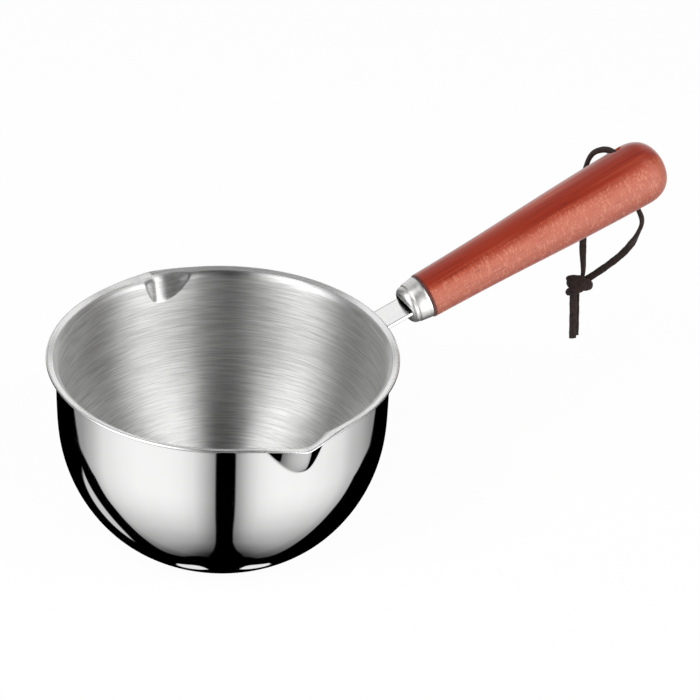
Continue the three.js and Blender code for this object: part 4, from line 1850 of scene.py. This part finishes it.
    def build(self, side: float) -> None:
        """Make the world.

        Args:
            side: How far the camera's ground axes are turned from the pan's frame.
        """
        world = bpy.data.worlds.new("studio")
        bpy.context.scene.world = world
        world.use_nodes = True
        world.cycles.sampling_method = "NONE"
        board = NodeBoard(world.node_tree)
        output = board.add("ShaderNodeOutputWorld")
        turn = board.add("ShaderNodeVectorRotate", rotation_type="Z_AXIS")
        board.feed(turn.inputs["Vector"], board.add("ShaderNodeTexCoord").outputs["Generated"])
        turn.inputs["Angle"].default_value = side
        sight = Sight(board, *board.split(turn.outputs[0]))
        lit = self.front_light(sight)
        for light in self.back_lights(sight) + [self.lens_light(sight, lens) for lens in self.lenses]:
            lit = board.math("MAXIMUM", lit, light)
        rays = board.add("ShaderNodeLightPath").outputs
        dull = (self.dull_light, self.dull_light, self.dull_light)
        seen = board.mix(rays["Is Glossy Ray"], dull, lit)
        seen = board.mix(rays["Is Camera Ray"], seen, (1.0, 1.0, 1.0))
        background = board.add("ShaderNodeBackground")
        board.feed(background.inputs["Color"], seen)
        board.feed(output.inputs["Surface"], background.outputs[0])


def swung(first: np.ndarray, second: np.ndarray, angle: float) -> tuple[np.ndarray, np.ndarray]:
    """Two square axes turned in their own plane, the first towards the second."""
    c, s = math.cos(angle), math.sin(angle)
    return first * c + second * s, second * c - first * s


def axes_matrix(*axes: np.ndarray) -> Matrix:
    """A turn whose columns are the given axes."""
    return Matrix(np.stack(axes, axis=-1).tolist())


@dataclass(frozen=True)
class Studio:
    """The camera, floor, lamps and surroundings."""

    distance: float = 726.82
    elevation: float = 0.551517
    yaw: float = 0.062930
    pitch: float = 0.001518
    roll: float = 0.013351
    side: float = math.radians(25.3)
    rim_height: float = 74.79
    focal_pixels: float = 2000.0
    picture_pixels: float = 700.0
    sensor_width: float = 36.0
    floor_half: float = 6.0
    floor_drop: float = 0.0002
    paper_grey: float = 0.88
    paper_glow: float = 0.93
    lamp_aim: Triple = (0.03, 0.0, 0.05)
    soft_lamps: tuple[Lamp, ...] = (
        Lamp("key", (-0.7, -0.9, 1.2), 0.9, 11.0),
        Lamp("fill", (0.9, -0.6, 0.8), 0.8, 4.0),
    )

    def turned(self, vector: np.ndarray) -> np.ndarray:
        """A vector of the camera's own ground axes (right, away, up) in the pan's frame."""
        c, s = math.cos(-self.side), math.sin(-self.side)
        return np.array([c * vector[0] - s * vector[1], s * vector[0] + c * vector[1], vector[2]])

    def camera(self) -> None:
        """A camera that looks down at the rim's middle, then is turned by yaw, pitch and roll."""
        c, s = math.cos(self.elevation), math.sin(self.elevation)
        position = np.array([0.0, -self.distance * c, self.distance * s])
        forward, right = np.array([0.0, c, -s]), np.array([1.0, 0.0, 0.0])
        up = np.cross(right, forward)
        forward, right = swung(forward, right, self.yaw)
        forward, up = swung(forward, up, self.pitch)
        right, up = swung(right, up, self.roll)
        data = bpy.data.cameras.new("photo_camera")
        data.sensor_width = self.sensor_width
        data.lens = self.focal_pixels / self.picture_pixels * self.sensor_width
        data.clip_start = 0.01
        made = bpy.data.objects.new("photo_camera", data)
        place = (self.turned(position) + np.array([0.0, 0.0, self.rim_height])) * METRES
        matrix = axes_matrix(self.turned(right), self.turned(up), -self.turned(forward)).to_4x4()
        matrix.translation = place.tolist()
        made.matrix_world = matrix
        bpy.context.scene.collection.objects.link(made)
        bpy.context.scene.camera = made

    def floor(self) -> None:
        """A large pale floor that keeps the shadow and that the steel doesn't mirror."""
        half = self.floor_half
        corners = [(-half, -half, 0.0), (half, -half, 0.0), (half, half, 0.0), (-half, half, 0.0)]
        mesh = bpy.data.meshes.new("floor")
        mesh.from_pydata(corners, [], [(0, 1, 2, 3)])
        made = bpy.data.objects.new("floor", mesh)
        bpy.context.scene.collection.objects.link(made)
        made.location.z = -self.floor_drop
        made.visible_glossy = False
        material = bpy.data.materials.new("floor_paper")
        material.use_nodes = True
        board = NodeBoard(material.node_tree)
        output = board.add("ShaderNodeOutputMaterial")
        paper = board.add("ShaderNodeBsdfDiffuse")
        paper.inputs["Color"].default_value = (self.paper_grey, self.paper_grey, self.paper_grey, 1.0)
        white = board.add("ShaderNodeEmission")
        seen = board.add("ShaderNodeLightPath").outputs["Is Camera Ray"]
        mix = board.add("ShaderNodeMixShader")
        board.feed(mix.inputs[0], board.times(seen, self.paper_glow))
        board.feed(mix.inputs[1], paper.outputs[0])
        board.feed(mix.inputs[2], white.outputs[0])
        board.feed(output.inputs["Surface"], mix.outputs[0])
        mesh.materials.append(material)

    def lamps(self) -> None:
        """A large soft key lamp from the front left and a weaker fill from the right."""
        for lamp in self.soft_lamps:
            data = bpy.data.lights.new(lamp.name, "AREA")
            data.energy = lamp.power
            data.size = lamp.size
            made = bpy.data.objects.new(lamp.name, data)
            bpy.context.scene.collection.objects.link(made)
            spot = self.turned(np.array(lamp.place))
            ahead = unit(np.array(self.lamp_aim) - spot)
            side = unit(np.cross(ahead, np.array([0.0, 0.0, 1.0])))
            made.location = spot.tolist()
            made.rotation_euler = axes_matrix(side, np.cross(side, ahead), -ahead).to_euler()
            made.visible_glossy = False

    def build(self) -> None:
        """Set up the camera, floor, lamps, surroundings and the plain colour transform."""
        self.camera()
        self.floor()
        self.lamps()
        Surroundings().build(self.side)
        bpy.context.scene.view_settings.view_transform = "Standard"


def dress_stud() -> bpy.types.Object:
    """Give the hidden stud, which keeps its CAD solid, a near-black turned steel of its own: painted shade
    where it shows through the ferrule's slot.
    """
    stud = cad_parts["tang_stud"]
    # Near-black steel: painted shade inside the ferrule's slot.
    steel = SatinSteel("stud_steel", (0.10, 0.10, 0.10), 0.6, (1400.0, 120.0, 120.0), 0.2)
    stud.data.materials.clear()
    stud.data.materials.append(steel.make())
    return stud


def main() -> None:
    """Build every piece in order and report it."""
    logging.basicConfig(level=logging.INFO, format="%(name)s: %(message)s")
    Studio().build()
    made = Lace().build()
    for part in (Bowl(), Strap(), Ferrule(), Grip()):
        made.append(part.build())
    made.append(dress_stud())
    for piece in made:
        LOG.info("%s: %d faces", piece.name, len(piece.data.polygons))


if __name__ == "__main__":
    main()
